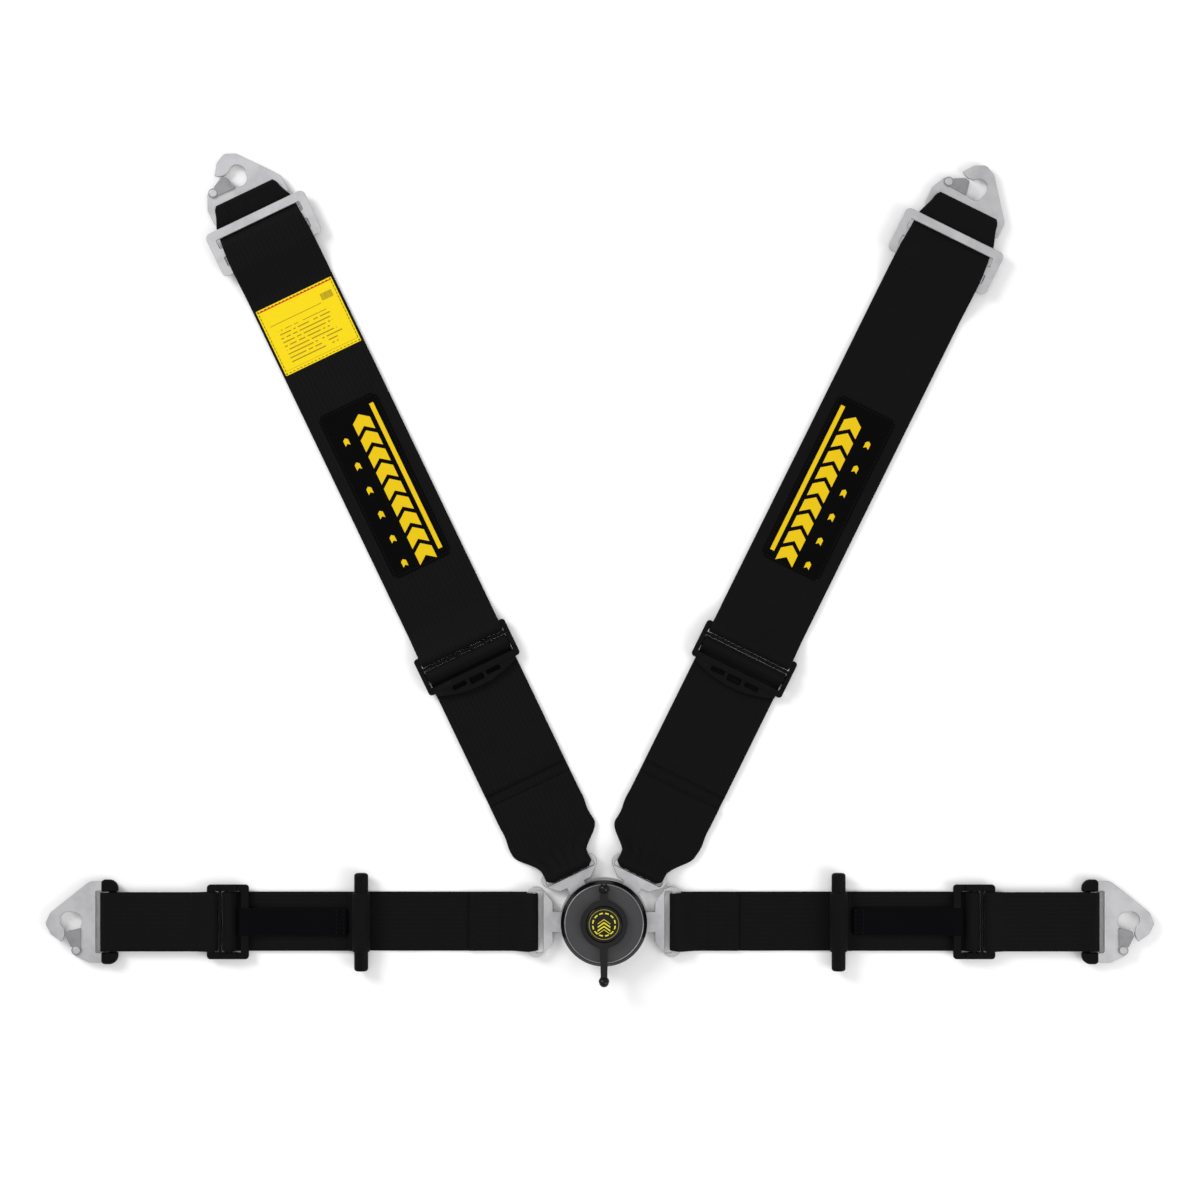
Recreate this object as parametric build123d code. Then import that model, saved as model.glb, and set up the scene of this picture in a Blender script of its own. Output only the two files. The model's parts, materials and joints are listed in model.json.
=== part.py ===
from build123d import *
import math
import os

# A four-point racing harness laid out flat: a rotary cam-lock buckle, two 3 inch shoulder belts and two
# 2 inch lap belts, each ending in a spring-gated snap hook. Millimetres, +Z up. The origin is the centre
# of the buckle's back face. Every belt is drawn in its own arm frame, +X outward along the belt, +Y to the
# left of it, and is then turned to its place round the buckle.

# ---- webbing -------------------------------------------------------------------------------------------
web_t = 1.3  # thickness of every strap
cut_h = 40.0  # height of the outlines that trim a strap to its width
layer_gap = 0.1  # between two layers that lie on each other
lap_web = 51.0
shoulder_web = 76.0
bar_clear = 0.35  # between a bar's corner and the strap that turns round it
floor_clear = 0.5  # under a strap that lies on the ground

# ---- levels --------------------------------------------------------------------------------------------
bar_plane = 6.5  # centre height of the tongues, adjusters and lap hooks
tongue_t = 2.8
slot_clear = 0.2  # between a tongue and the buckle, above and below
edge = 0.4  # bevel of every metal edge

# ---- buckle --------------------------------------------------------------------------------------------
buckle_r = 37.0
plate_t = 2.5
plate_floor = 0.5  # left under the spindle
plate_lip = 0.9  # the back plate shows this far past the housing
cavity_r = buckle_r - 6.8
ceiling_z = bar_plane + 12.0
ceiling_t = 2.2
rim_z = ceiling_z + 3.5
bezel = 3.4
pin_r = 4.0
pin_fit = 0.2
pin_reach = 21.0  # latch pin of a lap tongue, from the spindle
lift = 5.5  # travel of the latch pins
lever_turn = 60.0  # degrees
spindle_r = 4.0
running = 0.05
loose = 0.4
carrier_t = 2.0
carrier_z = bar_plane + 2.8
cam_r = 11.8
lever_z = rim_z + 0.4
hub_r = 20.0
hub_t = 5.0
cap_seat = 3.0  # height of the cap's recess above the lever's underside
cap_gap = 0.2
cap_r = 15.3
arm_long = 53.5
arm_short = 34.5
ball_r = 4.2
screw_r = 1.5
screw_circle = buckle_r - 4.5
screw_angles = (25.5, 154.5, 235.0, 305.0)

# ---- tongues -------------------------------------------------------------------------------------------
lap_neck = 17.7
shoulder_neck = 16.4
shoulder_hole_u = 23.0
belt_offset = 8.0  # a shoulder belt's line passes this far outside the spindle
shoulder_angles = {"left": 25.6, "right": 26.3}  # from +Y
lap_bar = (buckle_r + 21.2, buckle_r + 29.6)  # inner and outer edge of the bar that carries the lap belt
shoulder_bar = (buckle_r + 15.5, buckle_r + 23.0)
lap_slot_front = lap_bar[0] - 6.0
shoulder_slot_front = shoulder_bar[0] - 4.5
lap_plate_half = lap_web / 2 + 4.8
shoulder_plate_half = 25.6
gathered = 43.0  # width of a shoulder belt where it is drawn together in its tongue

# ---- adjusters -----------------------------------------------------------------------------------------
frame_t = 3.0
lock_r = 3.5
lap_lock = {"left": 322.0, "right": 317.0}  # locking bar, from the spindle
shoulder_lock = 254.0
tab_t = 1.0
tab_w = 24.0
tab_lead = 24.0  # from the inner bar to where the tab lies flat
tab_bend = 14.0
tab_end = 12.0  # end of the tab, from the pull bar
rod_r = 6.0
rod_l = 84.0
lap_rod = {"left": 208.0, "right": 201.0}

# ---- hooks ---------------------------------------------------------------------------------------------
hook_t = 3.0
hook_bar = 5.6  # width of the bar
hook_bar_u = 10.1  # bar centre from the hook's datum edge
apex_u = 61.8  # nose of the hook from the same edge
hook_half = lap_web / 2 + 9.5
hook_slot = lap_web + 2.0
hook_slot_end = 18.6
lap_apex = {"left": 479.0, "right": 472.0}
shoulder_apex = {"left": 735.0, "right": 727.0}
shoulder_hook_z = 5.0
gate_pivot = (34.9, -24.2)
gate_pin_r = 2.0
gate_plate = 1.2
gate_clear = 0.3
eye_x, eye_y = 39.6, 1.0  # centre of the eye
eye_turn = 8.0
eye_l = 19.0
eye_r = 7.5
eye_run = eye_l / 2 - eye_r
cap_over = 1.6  # thickness of a hook's end cap round the plate
cap_span = (-0.6, 13.6)  # rear and front of a cap, from the hook's datum edge

# ---- three-bar slides, patches and label ---------------------------------------------------------------
slide_w = shoulder_web + 17.5
slide_l = 40.0
slide_bar = 8.0
slide_arm = 7.5
slide_t = 3.0
slide_z = 9.0
slide_near = {"left": 638.0, "right": 625.0}
patch = (342.0, 154.0, 55.0)
patch_t = 0.8
label = (540.0, 61.0, shoulder_web - 4.5)
label_t = 0.4


# ---- helpers -------------------------------------------------------------------------------------------
def band(bends, width, thickness=web_t):
    """A strap of constant width that runs tangent from bend to bend. A bend is (x, z, radius of the strap's
    centre line); a positive radius turns upward, 0 is an end."""
    legs = []
    for (x1, z1, r1), (x2, z2, r2) in zip(bends, bends[1:]):
        heading = math.atan2(z2 - z1, x2 - x1) - math.asin((r2 - r1) / math.hypot(x2 - x1, z2 - z1))
        left = Vector(-math.sin(heading), 0, math.cos(heading))
        legs.append((Vector(x1, 0, z1) - left * r1, Vector(x2, 0, z2) - left * r2, left, heading))

    def side(shift):
        """One long side of the section, from the first bend to the last."""
        edges = []
        for i, (start, end, left, heading) in enumerate(legs):
            edges.append(Line(start + left * shift, end + left * shift))
            if i + 1 < len(legs):
                x, z, radius = bends[i + 1]
                turn = (legs[i + 1][3] - heading) % (2 * math.pi)
                if radius < 0:
                    turn -= 2 * math.pi
                places = []
                for angle in (heading, heading + turn / 2, heading + turn):
                    normal = Vector(-math.sin(angle), 0, math.cos(angle))
                    places.append(Vector(x, 0, z) - normal * (radius - shift))
                edges.append(ThreePointArc(*places))
        return edges

    upper = side(thickness / 2)
    lower = side(-thickness / 2)
    caps = [Line(upper[0] @ 0, lower[0] @ 0), Line(upper[-1] @ 1, lower[-1] @ 1)]
    section = Face(Wire(upper + lower + caps))
    return extrude(section, width / 2, dir=(0, 1, 0), both=True)


def plate(face, z, thickness, round_by=edge):
    """A flat plate of a face's outline with its long edges bevelled."""
    body = extrude(Pos(0, 0, z) * face, thickness, dir=(0, 0, 1))
    rims = body.faces().filter_by(Axis.Z).edges()
    return chamfer(rims, round_by) if round_by else body


def disc(radius, z, height):
    """A round bar standing on height z."""
    return Pos(0, 0, z) * Cylinder(radius, height, align=(Align.CENTER, Align.CENTER, Align.MIN))


def block(x1, x2, width, z1, z2, y=0.0):
    """A box between two places along a belt and two heights, centred across it at y."""
    shape = Box(x2 - x1, width, z2 - z1, align=(Align.MIN, Align.CENTER, Align.MIN))
    return Pos(x1, y, z1) * shape


def rod(x, z, radius, length):
    """A round bar across a belt."""
    return Pos(x, 0, z) * Rot(90, 0, 0) * Cylinder(radius, length)


def write(node, *solids):
    """One file for each node, however many separate solids it has."""
    parts = [s for shape in solids for s in shape.solids()]
    for i, shape in enumerate(parts):
        shape.label = f"{node}_{i + 1}"
    export_step(parts[0] if len(parts) == 1 else Compound(children=parts), f"parts/{node}.step")


def lap_place(side):
    """Turns an arm to the left or right lap belt."""
    return Rot(0, 0, 180 if side == "left" else 0)


def shoulder_place(side):
    """Turns an arm to the left or right shoulder belt."""
    sign = 1 if side == "left" else -1
    return Rot(0, 0, 90 + sign * shoulder_angles[side]) * Pos(0, sign * belt_offset, 0)


def tongue_blank(end, neck, hole_u, grow=0.0):
    """Outline of a tongue's neck from its tapered tip out to end."""
    tip = neck * 0.43 + grow
    half = neck / 2 + grow
    shoulder = hole_u + 9
    taper = make_hull([*(Pos(hole_u, 0) * Circle(tip)).edges(), Line((shoulder, half), (shoulder, -half))])
    return taper + Pos((shoulder + end) / 2, 0) * Rectangle(end - shoulder, neck + 2 * grow)


# ---- buckle --------------------------------------------------------------------------------------------
tongue_low = bar_plane - tongue_t / 2
deck_z = tongue_low - slot_clear
roof_z = tongue_low + tongue_t + slot_clear
inner_r = buckle_r - 3.7
cam_z = plate_t + 0.3
flange_t = 0.6
pin_low = deck_z - 1.7


def channels(z1, z2, grow):
    """The four tongue-shaped passages of the buckle between two heights."""
    cuts = []
    for side in ("left", "right"):
        lap = Pos(0, 0, z1) * tongue_blank(buckle_r, lap_neck, pin_reach, grow)
        upper = Pos(0, 0, z1) * tongue_blank(buckle_r, shoulder_neck, shoulder_hole_u, grow)
        cuts.append(lap_place(side) * extrude(lap, z2 - z1, dir=(0, 0, 1)))
        cuts.append(shoulder_place(side) * extrude(upper, z2 - z1, dir=(0, 0, 1)))
    return cuts


def pin_places():
    """Where the three lifting latch pins stand."""
    lap = lap_place("right") * Pos(pin_reach, 0, 0)
    upper = [shoulder_place(side) * Pos(shoulder_hole_u, 0, 0) for side in ("left", "right")]
    return [lap, *upper]


def screw_places():
    return [Rot(0, 0, angle) * Pos(screw_circle, 0, 0) for angle in screw_angles]


def buckle_back_plate():
    body = chamfer(disc(buckle_r + plate_lip, 0, plate_t).edges().group_by(Axis.Z)[0], 0.6)
    body -= disc(spindle_r + running, plate_floor, plate_t)
    body -= Pos(-pin_reach, 0, 0) * disc(pin_r, 0, plate_t)
    for place in screw_places():
        body -= place * disc(screw_r, 0, plate_t)
        body -= place * Pos(0, 0, 0.75) * Cone(screw_r * 2, screw_r, 1.5)
    return body


def buckle_guide_block():
    """The deck under the tongues and the walls between them."""
    body = disc(inner_r, plate_t, roof_z - plate_t - 0.05) - disc(cam_r + 0.8, plate_t, roof_z)
    for cut in channels(deck_z, roof_z, slot_clear + 0.1):
        body -= cut
    for place in pin_places():
        body -= place * disc(pin_r + loose, plate_t, deck_z)
    body -= Pos(-pin_reach, 0, 0) * disc(pin_r, plate_t, deck_z)
    for place in screw_places():
        body -= place * disc(screw_r, plate_t, roof_z)
    return body


def buckle_housing():
    """The die-cast shell with its bezel, the recess for the face and four tongue slots."""
    recess = ceiling_z + ceiling_t
    points = [
        (spindle_r + running, ceiling_z),
        (cavity_r, ceiling_z),
        (cavity_r, roof_z),
        (inner_r, roof_z),
        (inner_r, plate_t),
        (buckle_r, plate_t),
        (buckle_r, rim_z - bezel),
        (buckle_r - bezel * 0.75, rim_z),
        (buckle_r - bezel, rim_z),
        (buckle_r - bezel - 0.4, recess),
        (spindle_r + running, recess),
    ]
    profile = make_face(Polyline(*[(x, 0, z) for x, z in points], close=True))
    body = revolve(profile, Axis.Z)
    crown = body.edges().filter_by(GeomType.CIRCLE).filter_by(lambda e: e.radius > buckle_r - 0.1)
    body = fillet(crown.group_by(Axis.Z)[-1], 2.4)
    for cut in channels(deck_z, roof_z, slot_clear + 0.1):
        body -= cut
    for place in screw_places():
        body -= place * disc(screw_r, plate_t, 10)
    return body


def buckle_face():
    body = disc(buckle_r - bezel - 0.5, ceiling_z + ceiling_t, rim_z - ceiling_z - ceiling_t - 0.1)
    body = fillet(body.edges().group_by(Axis.Z)[-1], 0.4)
    return body - disc(spindle_r + 2, ceiling_z, 6)


def base_screws():
    screws = []
    for place in screw_places():
        head = Pos(0, 0, 0.75) * Cone(screw_r * 2, screw_r, 1.5)
        screws.append(place * (head + disc(screw_r, 0, 11.5)))
    return screws


def fixed_tongue_pin():
    head_z = tongue_low + tongue_t + 0.15
    return Pos(-pin_reach, 0, 0) * (disc(pin_r, 0.3, head_z) + disc(pin_r + 1.4, head_z, 0.8))


def spindle():
    groove_z = ceiling_z - 1.4
    foot = plate_floor + 0.1
    body = disc(spindle_r, foot, lever_z + 2 - foot)
    return body - (disc(spindle_r + 1, groove_z, 1.0) - disc(spindle_r - 0.5, groove_z, 1.0))


def spindle_circlip():
    z = ceiling_z - 1.4
    ring = disc(spindle_r + 2, z, 1.0) - disc(spindle_r - 0.5, z, 1.0)
    return ring - Pos(-6, 0, z + 0.5) * Box(8, 4, 2)


def release_cam():
    """A flange on the spindle with two ramps that lift the pin carrier as the lever turns."""
    top = cam_z + flange_t
    body = disc(cam_r, cam_z, flange_t) + disc(spindle_r + 2, cam_z, flange_t + lift - 0.3)
    ramp_mean = 9.0
    run = math.radians(lever_turn) * ramp_mean * 1.16
    for start in (0, 180):
        wedge = Polyline((0, run / 2, top), (0, -run / 2, top), (0, -run / 2, top + lift), close=True)
        shape = extrude(make_face(wedge), 14, dir=(1, 0, 0))
        sector = disc(cam_r - 0.4, top, lift + 1) - disc(spindle_r + 1, top, lift + 1)
        mid = start - math.degrees((run / 2 + 1.7) / ramp_mean)
        body += Rot(0, 0, mid) * (shape & sector)
    return body - disc(spindle_r, cam_z, lift + 2)


def pin_carrier():
    """The spider that carries the latch pins and rides on the cam's ramps by two pegs."""
    body = disc(13, carrier_z, carrier_t)
    for place in pin_places():
        arm = place * Circle(pin_r + 1.2)
        web = make_hull([*arm.edges(), *Circle(6).edges()])
        body += extrude(Pos(0, 0, carrier_z) * web, carrier_t, dir=(0, 0, 1))
    body -= disc(spindle_r + loose, carrier_z, carrier_t)
    for place in pin_places():
        body -= place * disc(pin_r, carrier_z, carrier_t)
    peg_z = cam_z + flange_t + loose
    for side in (1, -1):
        body += Pos(side * 9, 0, 0) * disc(1.3, peg_z, carrier_z - peg_z)
    return body


def latch_pins():
    pins = []
    for place in pin_places():
        pin = disc(pin_r, pin_low, carrier_z + carrier_t - pin_low)
        pins.append(place * chamfer(pin.edges().group_by(Axis.Z)[0], 0.5))
    return pins


def carrier_spring():
    wire = 0.7
    low = carrier_z + carrier_t + wire + 0.05
    height = ceiling_z - wire - 0.1 - low
    path = Helix(pitch=height / 2.5, height=height, radius=8.2, center=(0, 0, low))
    section = Plane(origin=path @ 0, z_dir=path % 0) * Circle(wire)
    return sweep(section, path, is_frenet=True)


def lever_arm(end, root_half, tip_half):
    """One arm to +Y: a flared root that draws in to a narrow stem, then a ball."""
    stem = end - ball_r
    root = hub_r - 6
    flare = hub_r - 3
    waist = hub_r + (stem - hub_r) * 0.45
    bulge = tip_half + 1.2
    neck = tip_half * 0.85
    sides = [
        Line((-root_half, flare), (-root_half, root)),
        Line((-root_half, root), (root_half, root)),
        Line((root_half, root), (root_half, flare)),
        ThreePointArc((root_half, flare), (bulge, (hub_r + waist) / 2), (tip_half, waist)),
        Line((tip_half, waist), (neck, stem)),
        Line((neck, stem), (-neck, stem)),
        Line((-neck, stem), (-tip_half, waist)),
        ThreePointArc((-tip_half, waist), (-bulge, (hub_r + waist) / 2), (-root_half, flare)),
    ]
    bar = extrude(Pos(0, 0, lever_z + 0.5) * make_face(sides), hub_t - 1, dir=(0, 0, 1))
    ball = Pos(0, stem, lever_z + 0.5 + ball_r * 0.9) * Rot(90, 0, 0) * Sphere(ball_r)
    return bar + ball


def release_lever():
    """The two-armed turning handle, a ring round the cap with a short and a long arm."""
    body = disc(hub_r, lever_z, hub_t)
    body += Rot(0, 0, 180) * lever_arm(arm_long, 11, 3.4)
    body += lever_arm(arm_short, 8, 3.0)
    body -= disc(cap_r + cap_gap, lever_z + cap_seat, hub_t + ball_r)
    body -= disc(spindle_r, lever_z - 1, hub_t)
    rims = body.edges().filter_by(GeomType.CIRCLE)
    inner = rims.filter_by(lambda e: abs(e.radius - cap_r - cap_gap) < 0.01)
    return chamfer(inner.group_by(Axis.Z)[-1], 0.6)


def lever_cap():
    body = disc(cap_r, lever_z + cap_seat, 2.6)
    return fillet(body.edges().group_by(Axis.Z)[-1], 1.2)


# ---- tongues -------------------------------------------------------------------------------------------
def tongue(neck, hole_u, bar, half, slot_width, slot_front):
    """A latch tongue: a narrow neck with the pin hole and a wide D-shaped plate with the belt's slot."""
    bar_in, bar_out = bar
    front = slot_front - 8.6
    corner = bar_out - bar_in
    lobes = [Pos(bar_in, s * (half - corner)) * Circle(corner) for s in (1, -1)]
    nose = Line((front, half * 0.56), (front, -half * 0.56))
    shape = make_hull([*lobes[0].edges(), *lobes[1].edges(), nose]) + tongue_blank(front, neck, hole_u)
    slot = Pos((slot_front + bar_in) / 2, 0) * RectangleRounded(bar_in - slot_front, slot_width, 1.2)
    hole = Pos(hole_u, 0) * Circle(pin_r + pin_fit)
    return plate(shape - slot - hole, tongue_low, tongue_t)


def lap_tongue():
    return tongue(lap_neck, pin_reach, lap_bar, lap_plate_half, lap_web + 2, lap_slot_front)


def shoulder_tongue():
    slot = gathered + 1.4
    return tongue(
        shoulder_neck, shoulder_hole_u, shoulder_bar, shoulder_plate_half, slot, shoulder_slot_front
    )


# ---- belts ---------------------------------------------------------------------------------------------
lie_z = floor_clear + web_t / 2  # centre line of a strap on the ground
step = web_t + layer_gap
wrap = lock_r + bar_clear + web_t / 2
return_end = 116.0
return_lead = 20.0  # from a tongue's bar to where the sewn return comes down flat
return_r = 14.0
hem_end = 11.0  # end of the hem round the pull bar, from the bar's centre
hem_r = 2.5
inner_gap = 9.0  # from the locking bar's centre back to where the tail lies flat
outer_bar = 7.0
outer_gap = 15.0  # from the locking bar's centre to the outer bar's
loop_adjuster = math.hypot(outer_bar, frame_t) / 2 + bar_clear + web_t / 2
loop_hook = math.hypot(hook_bar, hook_t) / 2 + bar_clear + web_t / 2
ramp = 8.0


def loop_tongue(bar):
    """Centre-line radius of a belt round a tongue's bar."""
    return math.hypot(bar[1] - bar[0], tongue_t) / 2 + bar_clear + web_t / 2


def adjustable_run(bar, lock, return_at):
    """Bends of a belt from its sewn return, round the tongue's bar, out to the locking bar and over it."""
    x = sum(bar) / 2
    radius = loop_tongue(bar)
    low = bar_plane - radius
    upper = low + step
    return upper, [
        (return_at, upper, 0),
        (x + return_lead, upper + return_r, -return_r),
        (x, bar_plane, radius),
        (lock, low + wrap, wrap),
        (lock - inner_gap, upper + 3, -3),
    ]


def lock_height(bar):
    """Height of the locking bar's centre above the ground."""
    return bar_plane - loop_tongue(bar) + wrap


def lap_belt(side):
    """Loop at the tongue, loaded run, wrap round the locking bar, free tail and the hem round the rod."""
    upper, bends = adjustable_run(lap_bar, lap_lock[side], return_end)
    x = lap_rod[side]
    around = rod_r + web_t / 2
    bends += [
        (x, upper + around, -around),
        (x + hem_end - 1.5, upper + step + hem_r, hem_r),
        (x + hem_end, upper + step, 0),
    ]
    return band(bends, lap_web)


def pull_bar(side):
    upper, _ = adjustable_run(lap_bar, lap_lock[side], return_end)
    z = upper + rod_r + web_t / 2
    body = rod(lap_rod[side], z, rod_r, rod_l)
    return fillet(body.edges().filter_by(GeomType.CIRCLE), 2.5)


shoulder_tail = 140.0


def shoulder_belt():
    """The same run in 3 inch webbing, drawn together at the tongue, with a plain hemmed tail."""
    upper, bends = adjustable_run(shoulder_bar, shoulder_lock, shoulder_tail - 10)
    bends.append((shoulder_tail, upper, 0))
    body = band(bends, shoulder_web)
    half, narrow = shoulder_web / 2 + 1, gathered / 2
    start = shoulder_bar[0] - 12
    wide = (shoulder_bar[1] + 24, half)
    neck = (shoulder_bar[1] + 5, narrow)
    profile = [(start, narrow), neck, wide, (shoulder_lock + 20, half)]
    points = profile + [(x, -y) for x, y in reversed(profile)]
    return body & extrude(make_face(Polyline(*points, close=True)), cut_h, dir=(0, 0, 1))


# ---- adjusters -----------------------------------------------------------------------------------------
cheek = 2.4
rail_half = 7.0  # of a cheek, along the belt
cheek_top = 1.2  # of a cheek, above the locking bar
middle_bar = 2.7
middle_bar_u = 7.35  # between the locking bar and the outer bar


def adjuster(lock, web, lock_z, inner, width):
    """A rectangular frame with an inner bar over the tail, a thin middle bar, an outer bar for the fixed
    strap and two cheeks that hold the locking bar."""
    low = bar_plane - frame_t / 2
    x1, x2 = lock - inner[1], lock + outer_gap + outer_bar / 2
    slot = web + 1.6
    shape = Pos((x1 + x2) / 2, 0) * RectangleRounded(x2 - x1, width, 3.0)
    near, far = lock - inner[0], lock + outer_gap - outer_bar / 2
    shape -= Pos((near + far) / 2, 0) * RectangleRounded(far - near, slot, 1.0)
    shape += Pos(lock + middle_bar_u, 0) * Rectangle(middle_bar, slot + 2)
    body = plate(shape, low, frame_t)
    for s in (1, -1):
        across = width / 2 - slot / 2 - 1.4
        rail = block(lock - rail_half, lock + rail_half, across, cheek_top, lock_z + lock_r + cheek_top)
        rail = fillet(rail.edges().filter_by(Axis.Y), cheek_top)
        body += Pos(0, s * (slot / 2 + (width - slot) / 4 - 0.3), 0) * rail
    return body - rod(lock, lock_z, lock_r, slot + 2 * cheek)


lap_inner = (10.5, 17.5)  # inner bar, measured back from the locking bar
shoulder_inner = (9.5, 15.5)
lap_adjuster_w = lap_web + 13.0
shoulder_adjuster_w = shoulder_web + 10.0
lip_reach = 11.0
lip_bow = 8.6
lip_window = (16.0, 3.4, 5.0, 12.5)  # spacing, outer depth, middle depth, width


def lap_adjuster(side):
    return adjuster(lap_lock[side], lap_web, lock_height(lap_bar), lap_inner, lap_adjuster_w)


def shoulder_adjuster():
    """The wide adjuster with a bowed finger lip that stands off its inner bar on four ribs."""
    body = adjuster(
        shoulder_lock, shoulder_web, lock_height(shoulder_bar), shoulder_inner, shoulder_adjuster_w
    )
    root = shoulder_lock - shoulder_inner[1] + 0.5
    tip = root - lip_reach
    half = shoulder_web / 2
    lip = make_face(
        [
            ThreePointArc((tip + lip_bow, half), (tip, 0), (tip + lip_bow, -half)),
            Line((tip + lip_bow, -half), (root, -half)),
            Line((root, -half), (root, half)),
            Line((root, half), (tip + lip_bow, half)),
        ]
    )
    for y in (-lip_window[0], 0, lip_window[0]):
        depth = lip_window[2] if y == 0 else lip_window[1]
        lip -= Pos(root - 1 - depth / 2, y) * RectangleRounded(depth, lip_window[3], 1.2)
    return body + plate(lip, bar_plane - frame_t / 2, frame_t)


def locking_bar(lock, web, lock_z):
    return chamfer(rod(lock, lock_z, lock_r, web + 1.6 + 2 * cheek).edges().filter_by(GeomType.CIRCLE), 0.4)


def release_tab(side):
    """A narrow strap sewn round the adjuster's inner bar, pulled to tilt the adjuster."""
    lock = lap_lock[side]
    bar = (lock - lap_inner[1], lock - lap_inner[0])
    gap = 0.08
    low = bar_plane - frame_t / 2 - gap - tab_t / 2
    corner = tab_t / 2 + gap
    upper = low + tab_t + 0.05
    end = lap_rod[side] + tab_end
    bends = [
        (end, low, 0),
        (bar[1], bar_plane - frame_t / 2, corner),
        (bar[1], bar_plane + frame_t / 2, corner),
        (bar[0], bar_plane + frame_t / 2, corner),
        (sum(bar) / 2 - tab_lead, upper + tab_bend, -tab_bend),
        (end, upper, 0),
    ]
    return band(bends, tab_w, tab_t)


# ---- straps between adjuster and hook ------------------------------------------------------------------
def hook_x(apex):
    """Place of a hook's bar along its belt."""
    return apex - apex_u + hook_bar_u


def anchor_strap(side):
    """A short strap, doubled from the adjuster's outer bar to the hook's bar and sewn to itself."""
    a = lap_lock[side] + outer_gap
    h = hook_x(lap_apex[side])
    up, down = bar_plane + step / 2, bar_plane - step / 2
    mid = (a + h) / 2
    run = 14.0
    bends = [
        (mid - 0.5, down, 0),
        (a + run, down - ramp, ramp),
        (a, bar_plane, -loop_adjuster),
        (a + run, up + ramp, ramp),
        (h - run, up + ramp, ramp),
        (h, bar_plane, -loop_hook),
        (h - run, down - ramp, ramp),
        (mid + 0.5, down, 0),
    ]
    return band(bends, lap_web)


under_end = 430.0
sewn_lead = 24.0  # from the adjuster's outer bar to where the sewn return lies flat
slide_lead = 32.0  # from the slide back to where the strap leaves the ground
slide_r = 20.0
tail_end_gap = 26.0
hug = 0.4  # inset of a slide bar's rounded corner
main_z = lie_z + step


def upper_strap(side):
    """Sewn return, loop round the adjuster, run up to the slide, loop round the hook and back through the
    slide to a free end."""
    a = shoulder_lock + outer_gap
    n = slide_near[side]
    h = hook_x(shoulder_apex[side])
    top = slide_z + slide_t / 2 - hug
    low = slide_z - slide_t / 2 + hug
    near = web_t / 2 + 0.15 + hug
    far = near + step
    pitch = (slide_l - slide_bar) / 2
    bars = [(n + i * pitch + hug, n + i * pitch + slide_bar - hug) for i in range(3)]
    bends = [
        (under_end, lie_z, 0),
        (a + sewn_lead, lie_z + slide_r, -slide_r),
        (a, bar_plane, -loop_adjuster),
        (a + sewn_lead + 2, main_z + return_r, return_r),
        (n - slide_lead, main_z + slide_r, slide_r),
        (bars[0][0], top, -near),
        (bars[1][0], top, -far),
        (bars[1][1], top, -far),
        (bars[2][0], low, near),
        (bars[2][1], low, near),
        (h, shoulder_hook_z, -loop_hook),
        (bars[2][0], low, -far),
        (bars[1][1], top, near),
        (bars[1][0], top, near),
        (bars[0][1], low, -near),
        (n - tail_end_gap, lie_z + 0.1, 0),
    ]
    body = band(bends, shoulder_web)
    wide, narrow = shoulder_web / 2 + 1, lap_web / 2
    profile = [(a - 10, wide), (n + slide_l - 5, wide), (h - loop_hook + 0.4, narrow), (h + 8, narrow)]
    points = profile + [(x, -y) for x, y in reversed(profile)]
    return body & extrude(make_face(Polyline(*points, close=True)), cut_h, dir=(0, 0, 1))


def three_bar_slide(side):
    n = slide_near[side]
    shape = Pos(n + slide_l / 2, 0) * RectangleRounded(slide_l, slide_w, 5.0)
    gap = (slide_l - 3 * slide_bar) / 2
    for i in range(2):
        x = n + slide_bar + gap / 2 + i * (slide_bar + gap)
        shape -= Pos(x, 0) * RectangleRounded(gap, slide_w - 2 * slide_arm, 1.0)
    return plate(shape, slide_z - slide_t / 2, slide_t)


def shoulder_patch():
    start, length, width = patch
    face = Pos(start + length / 2, 0) * RectangleRounded(length, width, 6.0)
    return extrude(Pos(0, 0, main_z + web_t / 2 + 0.02) * face, patch_t, dir=(0, 0, 1))


def care_label():
    start, length, width = label
    low = main_z + web_t / 2 + 0.02
    return block(start, start + length, width, low, low + label_t)


# ---- hooks ---------------------------------------------------------------------------------------------
def hook_plate():
    """Outline of the stamped hook with its strap slot, eye and side mouth, the mouth on -Y."""
    rear = hook_bar_u - hook_bar / 2
    corners = [
        (rear, hook_half),
        (24.0, hook_half),
        (57.6, 8.2),
        (61.8, -1.4),
        (57.2, -10.6),
        (47.8, -17.2),
        (39.4, -21.6),
        (36.6, -29.2),
        (24.0, -hook_half),
        (rear, -hook_half),
    ]
    radii = [5.0, 9.0, 7.0, 5.0, 5.0, 1.0, 0.8, 3.0, 7.0, 5.0]
    shape = make_face(FilletPolyline(*corners, radius=radii, close=True))
    slot_in = hook_bar_u + hook_bar / 2
    slot_middle = (slot_in + hook_slot_end) / 2
    shape -= Pos(slot_middle, 0) * RectangleRounded(hook_slot_end - slot_in, hook_slot, 1.2)
    eye = Pos(eye_x, eye_y) * Rot(0, 0, eye_turn) * SlotOverall(eye_l, 2 * eye_r)
    mouth_points = [
        (31.2, 1.0),
        (47.0, 1.0),
        (45.6, -6.2),
        (44.7, -10.3),
        (46.2, -14.6),
        (50.0, -19.5),
        (44.0, -26.0),
        (40.6, -21.4),
        (37.4, -18.4),
        (31.8, -17.4),
    ]
    mouth = make_face(FilletPolyline(*mouth_points, radius=0.9, close=True))
    return shape - eye - mouth


def place_hook(shape, apex, z, flip):
    """Puts a hook piece on its belt; flip moves the mouth to +Y."""
    turned = mirror(shape, about=Plane.XZ) if flip else shape
    return Pos(apex - apex_u, 0, z) * turned


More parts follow.
